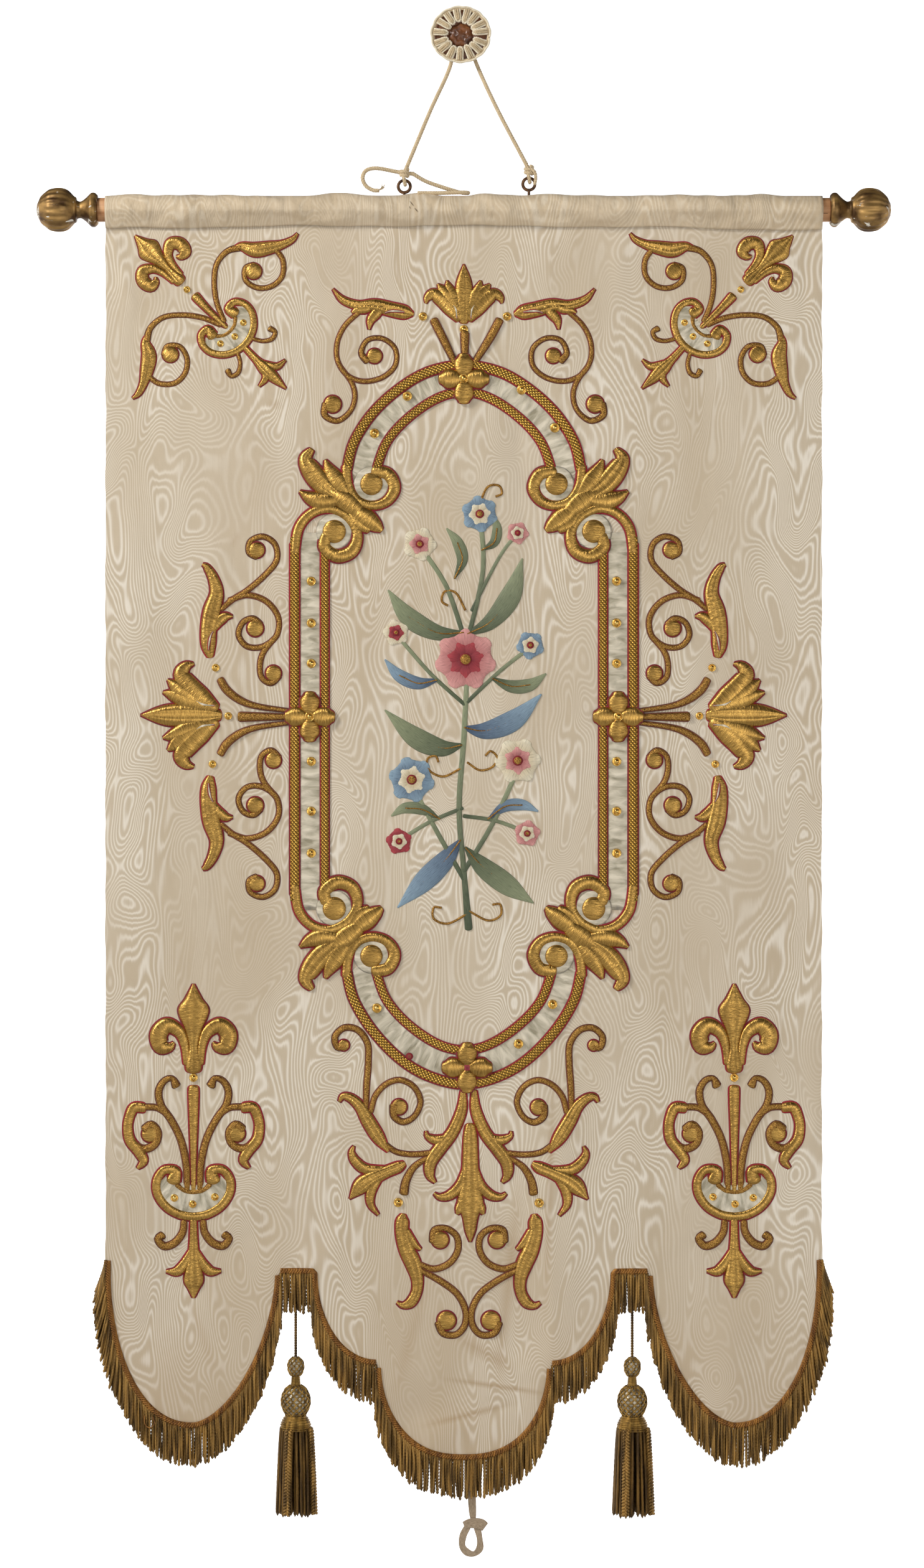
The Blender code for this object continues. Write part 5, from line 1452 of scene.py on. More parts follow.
BOTTOM_SPRAY = Motif(
    (
        LEAF((-7, -468, 3.5), (-9, -492, 6.5), (-20, -519, 7.5), (-36, -540, 8), (-48, -558, 7.5),
             (-49, -574, 5.5), (-42, -584, 1.5)),
        SMOOTH((-23, -527, 5.5), (-40, -530, 6), (-52, -525, 3.5), (-54, -518, 1)),
        GRAIN((-46, -546, 3), (-70, -548), (-91, -545), (-106, -535)),
        LEAF((-102, -544, 2), (-114, -527, 8), (-127, -506, 8.5), (-137, -488, 7), (-149, -477, 5.5),
             (-159, -475, 4), (-164, -482, 1.5)),
        GRAIN((-124, -494, 3), (-118, -474), (-104, -459), (-86, -454), (-69, -463), (-61, -481),
              (-68, -499), (-82, -507, 3.5), (-94, -500, 4), (-93, -487, 6.5)),
        GRAIN((-130, -491, 3), (-129, -461, 3.5), (-127, -432), (-128, -408), (-140, -391), (-157, -388),
              (-169, -399), (-166, -412, 4), (-157, -411, 4.5)),
        GRAIN((-52, -552, 2.5), (-69, -564, 3.5), (-79, -581, 4.5), (-82, -597, 5)),
    ),
    (),
    ((-88, -488, 10), (-158, -410, 7)),
)
BOTTOM_SCROLL = Motif(
    (
        LEAF((-83, -625, 4), (-84, -632, 8), (-84, -648, 8.5), (-78, -669, 10), (-70, -687),
             (-65, -706, 7.5), (-66, -722, 6.5), (-73, -735), (-83, -739, 4), (-91, -735, 1.5)),
        SMOOTH((-78, -645, 4), (-69, -661, 4.5), (-61, -668, 2)),
        GRAIN((-62, -687, 3), (-44, -693, 3.5), (-25, -686), (-14, -670), (-15, -652), (-28, -642),
              (-43, -644, 4), (-44, -658, 5.5)),
        GRAIN((-60, -695, 3), (-36, -708, 3.5), (-15, -724), (-4, -745), (-5, -764), (-16, -776),
              (-32, -774, 4), (-37, -761, 5.5)),
    ),
    (),
    ((-36, -656, 11), (-28, -758, 12)),
)
SIDE_FLEUR = Motif(
    (
        LEAF((-82, -560, 4), (-89, -564, 7), (-104, -570, 7.5), (-123, -579, 9.5), (-137, -589, 10),
             (-151, -605, 0.5)),
        SMOOTH((-104, -567, 4), (-129, -567, 6.5), (-143, -557, 6), (-148, -546, 4), (-145, -537, 1)),
        SMOOTH((-112, -577, 4), (-123, -594, 6), (-124, -611, 4.5), (-114, -625, 1.5)),
    ),
    studs=((-89, -609, 6),),
)


def arch(half: Sequence[Row]) -> tuple[Row, ...]:
    """A whole arch of the frame from its half, right foot to left."""
    return tuple((-across, up, width) for across, up, width in half[:0:-1]) + tuple(half)


@dataclass
class GoldFrame:
    """The gold frame: two rows of braid over satin, volutes, acanthus, quatrefoils and studs."""

    lift: float = 1.4
    middle_u: float = 195.0
    middle_v: float = 5.6
    satin_half: float = 18.0

    def build(self) -> None:
        """Makes the four satin bands and the frame over them."""
        for name, rise, v in (("top", 1, 0), ("bottom", -1, -2)):
            self.band(name, INLAY(*arch(ARCH_SATIN)), Placing(v=v, rise=rise))
        for name, side in (("left", -1), ("right", 1)):
            ways = ((side * self.middle_u, v, self.satin_half) for v in (-228, -110, 0, 110, 228))
            self.band(name, INLAY(*ways), Placing())
        relief = Relief(11, self.lift)
        self.rows(relief)
        self.corners(relief)
        self.flowers(relief)
        relief.shape.piece("braided_frame", "goldwork", "gold_frame")

    def band(self, name: str, stroke: Stroke, placing: Placing) -> None:
        """Makes one band of pale satin."""
        relief = Relief(5, 0.25)
        relief.stroke(stroke, placing)
        relief.shape.piece(f"satin_band_{name}", "pale_satin", f"satin_{name}")

    def rows(self, relief: Relief) -> None:
        """Lays the two rows of braid all round."""
        for half, rise in ((ARCH_TOP, 1), (ARCH_BOTTOM, -1)):
            relief.stroke(BRAID(*arch(half)), Placing(rise=rise))
            relief.stroke(BRAID(*arch(ARCH_INNER)), Placing(rise=rise))
        for flip in (1, -1):
            for row in (SIDE_OUTER, SIDE_INNER):
                relief.stroke(row, Placing(flip=flip))

    def corners(self, relief: Relief) -> None:
        """Works the volutes, their bosses and the acanthus leaves of the four corners."""
        for flip in (1, -1):
            for rise, band_v, boss_v in ((1, 0, 0), (-1, 5, 3)):
                here = Placing(v=band_v, flip=flip, rise=rise)
                boss_here = Placing(v=boss_v, flip=flip, rise=rise)
                for across, up, radius in (ARCH_BOSS, BAND_BOSS):
                    relief.disc((across, up, radius + 8), LINING, WORKS[INLAY].finish, boss_here)
                for leaf in ACANTHUS:
                    relief.stroke(leaf, here)
                relief.stroke(BAND_VOLUTE, here)
                relief.stroke(ARCH_VOLUTE, Placing(flip=flip, rise=rise))
                for boss in (ARCH_BOSS, BAND_BOSS):
                    relief.knob(boss, boss_here)

    def flowers(self, relief: Relief) -> None:
        """Works the four quatrefoils, the stems that leave them and the studs between the braids."""
        for flip in (1, -1):
            for stem in SIDE_STEMS:
                relief.stroke(stem, Placing(v=self.middle_v, flip=flip))
        for stem in TOP_STEMS:
            relief.stroke(stem, Placing())
        places = ((0, 433), (4, -438), (-self.middle_u, self.middle_v), (self.middle_u, self.middle_v))
        relief.lift += 1.6
        for u, v in places:
            for turn in (0, 90, 180, 270):
                relief.stroke(QUATREFOIL_PETAL, Placing(u, v, turn))
        relief.lift += 1.4
        for i, (u, v) in enumerate(places):
            if i == 1:
                relief.knob((u, v, 5.0), Placing(), CRIMSON)
            else:
                relief.stud((u, v, 6.3), Placing())
        relief.lift -= 2.6
        for stud in FRAME_STUDS:
            relief.stud(stud, Placing())
        relief.knob((-69, -424, 3.2), Placing(), Thread("rust_bead", srgb(120, 52, 34), srgb(150, 70, 44)))


@dataclass
class Appliques:
    """The goldwork outside the frame, whose two halves mirror each other."""

    count: int = 0

    def piece(self, node: str, motif: Motif, placing: Placing) -> None:
        """Works one motif as a piece of its own, for its node."""
        self.count += 1
        relief = Relief(100 + self.count)
        relief.motif(motif, placing)
        relief.shape.piece("worked_" + node, "goldwork", node)

    def build(self) -> None:
        """Makes every motif."""
        palmette = replace(PALMETTE, studs=((-1, -13, 5), (60, 3, 5), (-62, 7, 5)))
        for side, flip in (("left", 1), ("right", -1)):
            self.piece("fleur_upper_" + side, FLEUR, Placing(-359 * flip, 557, 45 * flip, 0.75, flip))
            self.piece("fleur_lower_" + side, FLEUR, Placing(-342 * flip, -440, 0, 1.0, flip))
            self.piece("cup_upper_" + side, UPPER_CUP, Placing(-292 * flip, 490, 45 * flip, 0.8, flip))
            self.piece("cup_lower_" + side, LOWER_CUP, Placing(-342 * flip, -602, 0, 1.0, flip))
            for where, rise in (("upper", 1), ("lower", -1)):
                placing = Placing(0, 5.6, 0, 1.0, flip, rise)
                self.piece(f"side_spray_{where}_{side}", SIDE_SPRAY, placing)
            self.piece("palmette_" + side, palmette, Placing(-311 * flip, 7.6, 90 * flip, 1.0, flip))
            self.piece("top_spray_" + side, TOP_SPRAY, Placing(flip=flip))
            self.piece("bottom_spray_" + side, BOTTOM_SPRAY, Placing(6, 0, flip=flip))
            self.piece("bottom_scroll_" + side, BOTTOM_SCROLL, Placing(6, 0, flip=flip))
            self.piece("side_fleur_" + side, SIDE_FLEUR, Placing(6, 0, flip=flip))
        top = replace(PALMETTE, studs=((0, -14, 7.5), (-70, 8, 7.5), (74, 8, 7.5)))
        self.piece("palmette_top", top, Placing(0, 506, 0, 0.74))
        self.piece("pendant", PENDANT, Placing(8, 0))


@dataclass(frozen=True)
class Bloom:
    """An embroidered flower: its middle, its radius, its petals and their thread."""

    u: float
    v: float
    radius: float
    petals: int
    thread: Thread
    inner: Thread


@dataclass
class FlowerSpray:
    """The spray of flowers in silk thread inside the frame."""

    stems: tuple[tuple[Row, ...], ...] = (
        ((6, -262, 5), (0, -190, 3.5), (-6, -110, 3.5), (0, -20, 3.5), (4, 60, 3)),
        ((0, -200, 3), (-34, -140, 3), (-62, -88, 3)),
        ((0, -190, 3), (36, -130, 3), (66, -66, 3)),
        ((2, 100, 3), (-22, 170, 3), (-52, 216, 3)),
        ((4, 100, 3), (24, 190, 3), (20, 262, 3)),
        ((2, 20, 2.5), (-42, 60, 2.5), (-84, 108, 2.5)),
        ((4, 24, 2.5), (44, 62, 2.5), (82, 92, 2.5)),
        ((10, 140, 2.2), (44, 206, 2.2), (66, 236, 2.2)),
        ((0, -120, 2.5), (40, -126, 2.5), (78, -140, 2.5)),
        ((-2, -110, 2.5), (-44, -128, 2.5), (-80, -150, 2.5)),
    )
    tendrils: tuple[Stroke, ...] = (
        GRAIN((-4, -60, 1.5), (-26, -70), (-44, -62), (-46, -48), (-36, -44), (-32, -52)),
        GRAIN((4, -52, 1.5), (20, -62), (36, -58), (42, -46), (34, -38), (27, -44)),
        GRAIN((2, 140, 1.5), (-10, 162), (-24, 164), (-28, 152), (-20, 146)),
        GRAIN((6, -240, 1.5), (30, -252), (46, -246), (46, -232), (36, -232)),
        GRAIN((4, -244, 1.5), (-20, -256), (-38, -250), (-38, -236), (-28, -236)),
        GRAIN((20, 276, 1.5), (30, 296), (44, 298), (48, 288), (40, 284)),
    )
    leaves: tuple[tuple[Row, ...], ...] = (
        ((-4, -150, 2), (-24, -176, 12), (-52, -204, 13), (-84, -236, 1)),
        ((2, -160, 2), (24, -184, 12), (56, -208, 13), (88, -230, 1)),
        ((-2, -30, 2), (-28, -34, 11), (-62, -20, 13), (-100, 14, 1)),
        ((0, -8, 2), (28, -12, 11), (64, 2, 13), (98, 34, 1)),
        ((4, 110, 2), (34, 126, 10), (60, 160, 13), (74, 206, 1)),
        ((0, 112, 2), (-34, 112, 10), (-70, 132, 12), (-96, 166, 1)),
        ((-34, 52, 2), (-58, 48, 8), (-82, 58, 8), (-100, 78, 1)),
        ((36, 54, 2), (60, 44, 8), (84, 46, 8), (104, 60, 1)),
        ((-30, -124, 1), (-52, -112, 7), (-74, -110, 7), (-92, -120, 1)),
        ((30, -124, 1), (52, -108, 7), (74, -106, 7), (94, -114, 1)),
        ((-12, 180, 1), (-2, 204, 7), (-8, 226, 7), (-22, 244, 1)),
        ((22, 216, 1), (38, 226, 6), (42, 244, 6), (36, 262, 1)),
    )
    blooms: tuple[Bloom, ...] = (
        Bloom(2, 78, 34, 7, ROSE, CRIMSON),
        Bloom(-66, -74, 25, 6, BLUE, CREAM),
        Bloom(68, -50, 25, 6, CREAM, ROSE),
        Bloom(-56, 224, 18, 5, CREAM, ROSE),
        Bloom(20, 262, 20, 6, BLUE, CREAM),
        Bloom(-86, 112, 14, 5, CREAM, CRIMSON),
        Bloom(84, 96, 15, 5, BLUE, CREAM),
        Bloom(68, 238, 12, 5, ROSE, CREAM),
        Bloom(80, -142, 14, 5, ROSE, CREAM),
        Bloom(-82, -152, 14, 5, CRIMSON, CREAM),
    )

    def build(self) -> None:
        """Makes the spray as one piece."""
        relief = Relief(77)
        for stem in self.stems:
            relief.stroke(Stroke(PETAL, stem, SAGE), Placing())
        for i, leaf in enumerate(self.leaves):
            relief.stroke(Stroke(PETAL, leaf, SAGE if i % 3 else BLUE), Placing())
            rib = tuple((u, v, 0.9) for u, v, _ in leaf[:-1])
            relief.lift += 1.6
            relief.stroke(Stroke(GRAIN, rib), Placing(), False)
            relief.lift -= 1.6
        for tendril in self.tendrils:
            relief.stroke(tendril, Placing(), False)
        for i, bloom in enumerate(self.blooms):
            self.flower(relief, bloom, 17.0 * i)
        relief.shape.piece("silk_flower_spray", "flower_thread", "flower_spray")

    def flower(self, relief: Relief, bloom: Bloom, turn: float) -> None:
        """Works one flower: outer petals, shorter inner ones and a gold heart."""
        whole = bloom.radius
        wide = whole * math.sin(math.pi / bloom.petals) * 1.05
        root = ((0, whole * 0.12, 1.5), (0, whole * 0.45, wide * 0.7))
        outer = (*root, (0, whole * 0.8, wide), (0, whole, wide * 0.55))
        short = tuple((a, b * 0.6, c * 0.62) for a, b, c in outer)
        for i in range(bloom.petals):
            angle = turn + 360 * i / bloom.petals
            relief.stroke(Stroke(PETAL, outer, bloom.thread), Placing(bloom.u, bloom.v, angle))
        relief.lift += 1.3
        for i in range(bloom.petals):
            angle = turn + 360 * (i + 0.5) / bloom.petals
            relief.stroke(Stroke(PETAL, short, bloom.inner), Placing(bloom.u, bloom.v, angle))
        relief.lift += 1.0
        relief.knob((bloom.u, bloom.v, whole * 0.2), Placing(), CHIPPED_GOLD)
        relief.lift -= 2.3


@dataclass
class Studio:
    """The camera, the soft lights and the pale room."""

    camera: Point = (0.0016, -4.5, -0.9501)
    lens: float = 81.1
    sensor: float = 36.0
    middle_z: float = -0.95
    aim: Point = (0.0, 0.0, -1.0)
    screen_reach: float = 13.0
    screen_half: float = 3.9
    screens: int = 36
    haze: float = 0.06
    glow_behind: float = 0.92
    glow_in_front: float = 0.42

    def build(self) -> None:
        """Sets the camera and the light, and makes the floor and the backdrop."""
        scene = bpy.context.scene
        scene.view_settings.view_transform = "Standard"
        data = bpy.data.cameras.new("view")
        data.lens = self.lens
        data.sensor_width = self.sensor
        camera = new_object("view", data)
        camera.location = self.camera
        camera.rotation_euler = (math.pi / 2, 0, 0)
        scene.camera = camera
        world = bpy.data.worlds.new("room")
        world.use_nodes = True
        background = world.node_tree.nodes["Background"].inputs
        background["Color"].default_value = WHITE
        background["Strength"].default_value = self.haze
        scene.world = world
        self.lamp("key", (-2.9, -1.9, 1.5), 0.9, 112.0)
        self.lamp("fill", (1.6, -3.6, -1.2), 1.2, 24.0)
        paper = Shader("pale_paper").done(Base_Color=PAPER, Roughness=0.9)
        low, high = self.middle_z - self.screen_half, self.middle_z + self.screen_half
        turns = np.arange(self.screens) * 2 * math.pi / self.screens
        ring = [(self.screen_reach * math.cos(turn), self.screen_reach * math.sin(turn)) for turn in turns]
        corners = [(x, y, low) for x, y in ring] + [(x, y, high) for x, y in ring]
        count = self.screens
        walls = [(i, i + count, (i + 1) % count + count, (i + 1) % count) for i in range(count)]
        half = count // 2
        for name, faces, power in (
            ("backdrop", walls[:half], self.glow_behind),
            ("screens_behind_camera", walls[half:], self.glow_in_front),
        ):
            shader = Shader(name + "_paper")
            glow = shader.done(Base_Color=PAPER, Roughness=0.9, Emission_Color=WHITE, Emission_Strength=power)
            self.sheet(name, corners, faces, glow)
        self.sheet("floor", [(x, y, low) for x, y in ring], [tuple(range(count))], paper)

    def lamp(self, name: str, place: Point, size: float, power: float) -> None:
        """Adds a square soft light that points at the banner."""
        data = bpy.data.lights.new(name, "AREA")
        data.size = size
        data.energy = power
        light = new_object(name, data)
        light.location = place
        light.rotation_euler = (Vector(self.aim) - Vector(place)).to_track_quat("-Z", "Y").to_euler()

    def sheet(self, name: str, corners: list[Point], faces: list[tuple], finish: bpy.types.Material) -> None:
        """Adds a part of the room that isn't the banner's."""
        mesh = bpy.data.meshes.new(name)
        mesh.from_pydata(corners, [], faces)
        mesh.materials.append(finish)
        new_object(name, mesh)


COTTON = Cotton()
GIMP_COTTON = Cotton("pale_gimp_cotton", srgb(255, 247, 226), srgb(224, 203, 164))
OLD_TAPE = Cotton("old_cotton_tape", srgb(196, 174, 146), srgb(128, 108, 84))
GIMP_GOLD = Bullion("gimp_gold", srgb(184, 128, 56), srgb(92, 52, 18), 1.6, 0.45)
FRINGE_GOLD = Bullion("antique_bullion", srgb(190, 146, 76), srgb(44, 28, 10), 1.3, 0.6)
TASSEL_GOLD = Bullion("tassel_gold", srgb(138, 102, 44), srgb(38, 24, 8), 1.2, 0.6)
BELL_GOLD = Bullion("wound_gold", srgb(206, 164, 84), srgb(84, 58, 20), 1.0, 0.7)
FOIL = Bullion("dulled_silver_foil", srgb(204, 196, 178), srgb(132, 118, 94), 3.0, 0.8)


@dataclass
class Cords:
    """The hanging cord over the boss's neck, its knots and its loose tails."""

    width: float = 0.0048
    left: Point = LEFT_EYE
    right: Point = RIGHT_EYE
    knot_rise: float = 0.0167
    ride: float = 0.0083
    neck_y: float = -0.00775
    sleeve_top: float = POLE_Z + 0.0202

    def build(self) -> None:
        """Makes the knots, the hanging cord and the two tails."""
        left_knot = self.knot("knot_of_cord_left", "knot_left", self.left, -1)
        right_knot = self.knot("knot_of_cord_right", "knot_right", self.right, 1)
        half_y = (PLANE_Y + self.neck_y) / 2 - 0.004
        start = (self.left[0] + 0.0035, PLANE_Y, self.left[2] + self.knot_rise + 0.0085)
        end = (self.right[0] - 0.0035, PLANE_Y, self.right[2] + self.knot_rise + 0.0085)
        turns = [math.radians(angle) for angle in (-62, -20, 20, 58)]
        over = [(self.ride * math.sin(turn), self.neck_y, self.ride * math.cos(turn)) for turn in turns]
        route = [
            start,
            (self.left[0] * 0.54, half_y, self.left[2] * 0.50),
            (-0.0135, self.neck_y, -0.0375),
            *over,
            (0.0205, self.neck_y, -0.0355),
            (self.right[0] * 0.54, half_y, self.right[2] * 0.50),
            end,
        ]
        self.cord("rope_over_boss", "hanging_cord", route, "object", "taut", [left_knot, right_knot])
        knot = (self.left[0], PLANE_Y, self.left[2] + self.knot_rise)
        top = self.sleeve_top
        curl = [
            (knot[0] - 0.0105, PLANE_Y, knot[2] + 0.002),
            (-0.1060, PLANE_Y - 0.003, -0.1715),
            (-0.1195, PLANE_Y - 0.004, -0.1745),
            (-0.1240, PLANE_Y - 0.004, -0.1840),
            (-0.1200, PLANE_Y - 0.003, -0.1935),
            (-0.1110, PLANE_Y - 0.004, top + 0.0042),
            (-0.1035, PLANE_Y - 0.004, top + 0.0036),
        ]
        self.cord("rope_tail_left", "cord_tail_left", curl, "bare", "loose", [self.fray(curl[-1])])
        doubled = [
            (knot[0] + 0.0108, PLANE_Y + 0.001, knot[2] - 0.0005),
            (-0.0440, PLANE_Y + 0.004, -0.1868),
            (-0.0200, PLANE_Y + 0.0055, -0.1950),
            (-0.0020, PLANE_Y + 0.0050, top + 0.0030),
            (0.0060, PLANE_Y + 0.0035, top + 0.0016),
            (0.0095, PLANE_Y - 0.0012, top + 0.0010),
            (0.0050, PLANE_Y - 0.0056, top + 0.0008),
            (-0.0080, PLANE_Y - 0.0068, top + 0.0006),
            (-0.0300, PLANE_Y - 0.0065, top),
            (-0.0540, PLANE_Y - 0.0065, top),
        ]
        self.cord("rope_tail_right", "cord_tail_right", doubled, "bare", "loose", [])

    def cord(
        self, name: str, node: str, route: list[Point], far_end: str, lay: str, pieces: list[bpy.types.Object]
    ) -> None:
        """Makes one stretch of cord.

        Args:
            name: The piece's name.
            node: The node that it stands for.
            route: The points that it follows.
            far_end: Not used.
            lay: Not used.
            pieces: Not used.
        """
        line = smooth_line(route, 0.0011)
        shape = Shape()
        shape.rope(line, COTTON)
        piece = shape.piece(name, "cotton_cord", node)

    def knot(self, name: str, node: str, eye: Point, side: int) -> bpy.types.Object:
        """Makes one knot: turns of the cord above the wire eye, and the loop that goes through it."""
        shape = Shape()
        middle = np.array([eye[0], eye[1], eye[2] + self.knot_rise])
        turn = np.linspace(0, 4.4 * math.pi, 60)[:, None]
        wraps = middle + np.hstack([
            0.0043 * np.cos(turn), -0.0043 * np.sin(turn), (turn / (4.4 * math.pi) - 0.5) * 0.0095 + 0.0005,
        ])
        shape.rope(wraps, COTTON, radius=0.00130, reach=0.00115)
        top = eye[2] + 0.0077
        turn = np.linspace(-0.35 * math.pi, 1.35 * math.pi, 40)[:, None]
        through = np.array([eye[0], eye[1], top]) + np.hstack([
            0.0012 * np.sin(turn), -0.0052 * np.cos(turn), 0.0002 - 0.0060 * np.sin(turn),
        ])
        shape.rope(through, COTTON, radius=0.00125, reach=0.00115)
        leaving = [(-0.0035 * side, 0.0, 0.0085)]
        if side < 0:
            leaving += [(-0.0105, 0.0, 0.0020), (0.0108, 0.001, -0.0005)]
        for offset in leaving:
            shape.rope(middle + np.array(offset) * np.linspace(0.15, 1.1, 14)[:, None], COTTON)
        if side > 0:
            stub = [
                (0.0030, -0.0040, 0.0020), (0.0075, -0.0062, -0.0030), (0.0085, -0.0050, -0.0110),
                (0.0070, -0.0045, -0.0180),
            ]
            shape.rope(smooth_line(middle + np.array(stub), 0.0012), COTTON, radius=0.00115, reach=0.0011)
        return shape.piece(name, "cotton_cord", node)

    def fray(self, end: Point) -> bpy.types.Object:
        """Makes the frayed fibres at a cut end."""
        draw = np.random.default_rng(9)
        shape = Shape()
        for _ in range(16):
            lean = draw.uniform(-0.5, 0.5, 2)
            far = draw.uniform(0.006, 0.011)
            points = [
                (end[0] - 0.002, end[1] + 0.002 * lean[0], end[2] + 0.0012 * lean[1]),
                (end[0] + far * 0.4, end[1] + 0.004 * lean[0], end[2] + 0.0010 + 0.004 * abs(lean[1])),
                (end[0] + far * 0.7, end[1] + 0.009 * lean[0], end[2] + 0.0020 + 0.013 * abs(lean[1])),
            ]
            shape.tube(smooth_line(points, 0.0015), 0.00035, COTTON, 5)
        return shape.piece("frayed_end", "cotton_cord")


@dataclass
class WallBoss:
    """The turned boss on the wall, and the gimp rosette sewn round its face."""

    neck: float = 0.0055
    neck_length: float = 0.0125
    radius: float = 0.0345
    depth: float = 0.0075
    loops: int = 15
    outer: float = 0.0372
    inner: float = 0.0168
    ring: float = 0.0352
    squash: float = 0.94

    def build(self) -> None:
        """Makes the boss and its rosette."""
        face = self.neck_length + self.depth
        profile = (
            (0.0, 0.0), (0.0, 0.0222), (0.0028, 0.0224), (0.0042, 0.0068), (0.006, self.neck),
            (0.0112, self.neck), (0.0124, 0.012), (self.neck_length, 0.0322), (0.014, 0.0341),
            (0.0165, self.radius), (face - 0.0012, 0.0322), (face, 0.0285), (face, 0.0165),
            (face - 0.0014, 0.0152), (face + 0.0008, 0.0128), (face + 0.0022, 0.0092),
            (face + 0.0010, 0.0066), (face + 0.0028, 0.0040), (face + 0.0034, 0.0),
        )
        rows = []
        for (a, b), (c, d) in zip(profile, profile[1:]):
            rows += [(a + (c - a) * i / 3, b + (d - b) * i / 3) for i in range(3)]
        rows.append(profile[-1])
        shape = Shape()
        axes = np.array([[0, -1, 0], [0, 0, 1], [-1, 0, 0]], float)
        shape.turned(rows, (0, 0, 0), axes, BROWN_WOOD, 64, (7, 0.12, face - 0.001, face + 0.0035))
        shape.piece("turned_boss", "brown_wood", "wall_boss")
        self.rosette(face + 0.0006)

    def rosette(self, face: float) -> None:
        """Makes the gimp: puffed ribbed loops, each edged by two thin cords."""
        shape = Shape()
        draw = np.random.default_rng(17)
        turn = np.linspace(0, 2 * math.pi, 73)
        across, up = self.ring * np.cos(turn), self.ring * self.squash * np.sin(turn)
        ring = np.stack([across, np.full(73, -(face + 0.0010)), up], -1)
        shape.tube(ring, 0.0019, COTTON, 8, 0.6)
        for i in range(self.loops):
            angle = 2 * math.pi * (i + draw.uniform(-0.14, 0.14)) / self.loops + 0.1
            out = np.array([math.cos(angle), math.sin(angle)])
            across = np.array([-out[1], out[0]])
            start = self.inner + draw.uniform(-0.0012, 0.0012)
            half = 0.0031 * draw.uniform(0.9, 1.08)
            t = np.linspace(-1, 1, 33)
            for layer, (size, height) in enumerate(((1.0, 0.0032), (0.36, 0.0044))):
                top = start + (1 - size) * 0.0040
                reach = top + (self.outer - 0.0030 - top) * np.abs(t) ** 2.2
                swell = 0.75 + 0.45 * np.abs(t)
                spread = half * size * np.sign(t) * np.minimum(1, np.abs(t) * 2.2) ** 0.6 * swell
                loop = reach[:, None] * out + spread[:, None] * across
                rise = face + height * (0.55 + 0.45 * np.sin(math.pi * np.clip(np.abs(t), 0.05, 0.95)))
                cord = np.stack([loop[:, 0], -rise, loop[:, 1] * self.squash], -1)
                shape.rope(cord, COTTON if layer % 2 else GIMP_COTTON, 2, 0.0009, 0.0008, 0.0044, 6)
            t = np.linspace(-1, 1, 17)
            bow = (self.outer - 0.0016 + 0.0020 * (1 - t**2))[:, None] * out + (0.0084 * t)[:, None] * across
            cord = np.stack([bow[:, 0], np.full(17, -(face + 0.0022)), bow[:, 1] * self.squash], -1)
            shape.rope(cord, GIMP_COTTON, 2, 0.0009, 0.0008, 0.0042, 6)
        shape.piece("looped_gimp_rosette", "cotton_cord", "gimp_rosette")


FINIAL_PROFILE = (
    (0.0, 0.0), (0.0, 18.5), (3.0, 21.2), (6.0, 21.6), (8.5, 20.8), (14.5, 15.0), (20.5, 10.8), (24.0, 10.8),
    (26.0, 12.0), (27.0, 15.5), (28.2, 16.2), (29.5, 17.0), (30.5, 18.0), (37.0, 24.2), (43.5, 26.8),
    (50.0, 27.2),
    (56.0, 26.4), (62.0, 24.4), (71.0, 17.2), (74.0, 12.0), (76.0, 8.0), (77.3, 0.0),
)


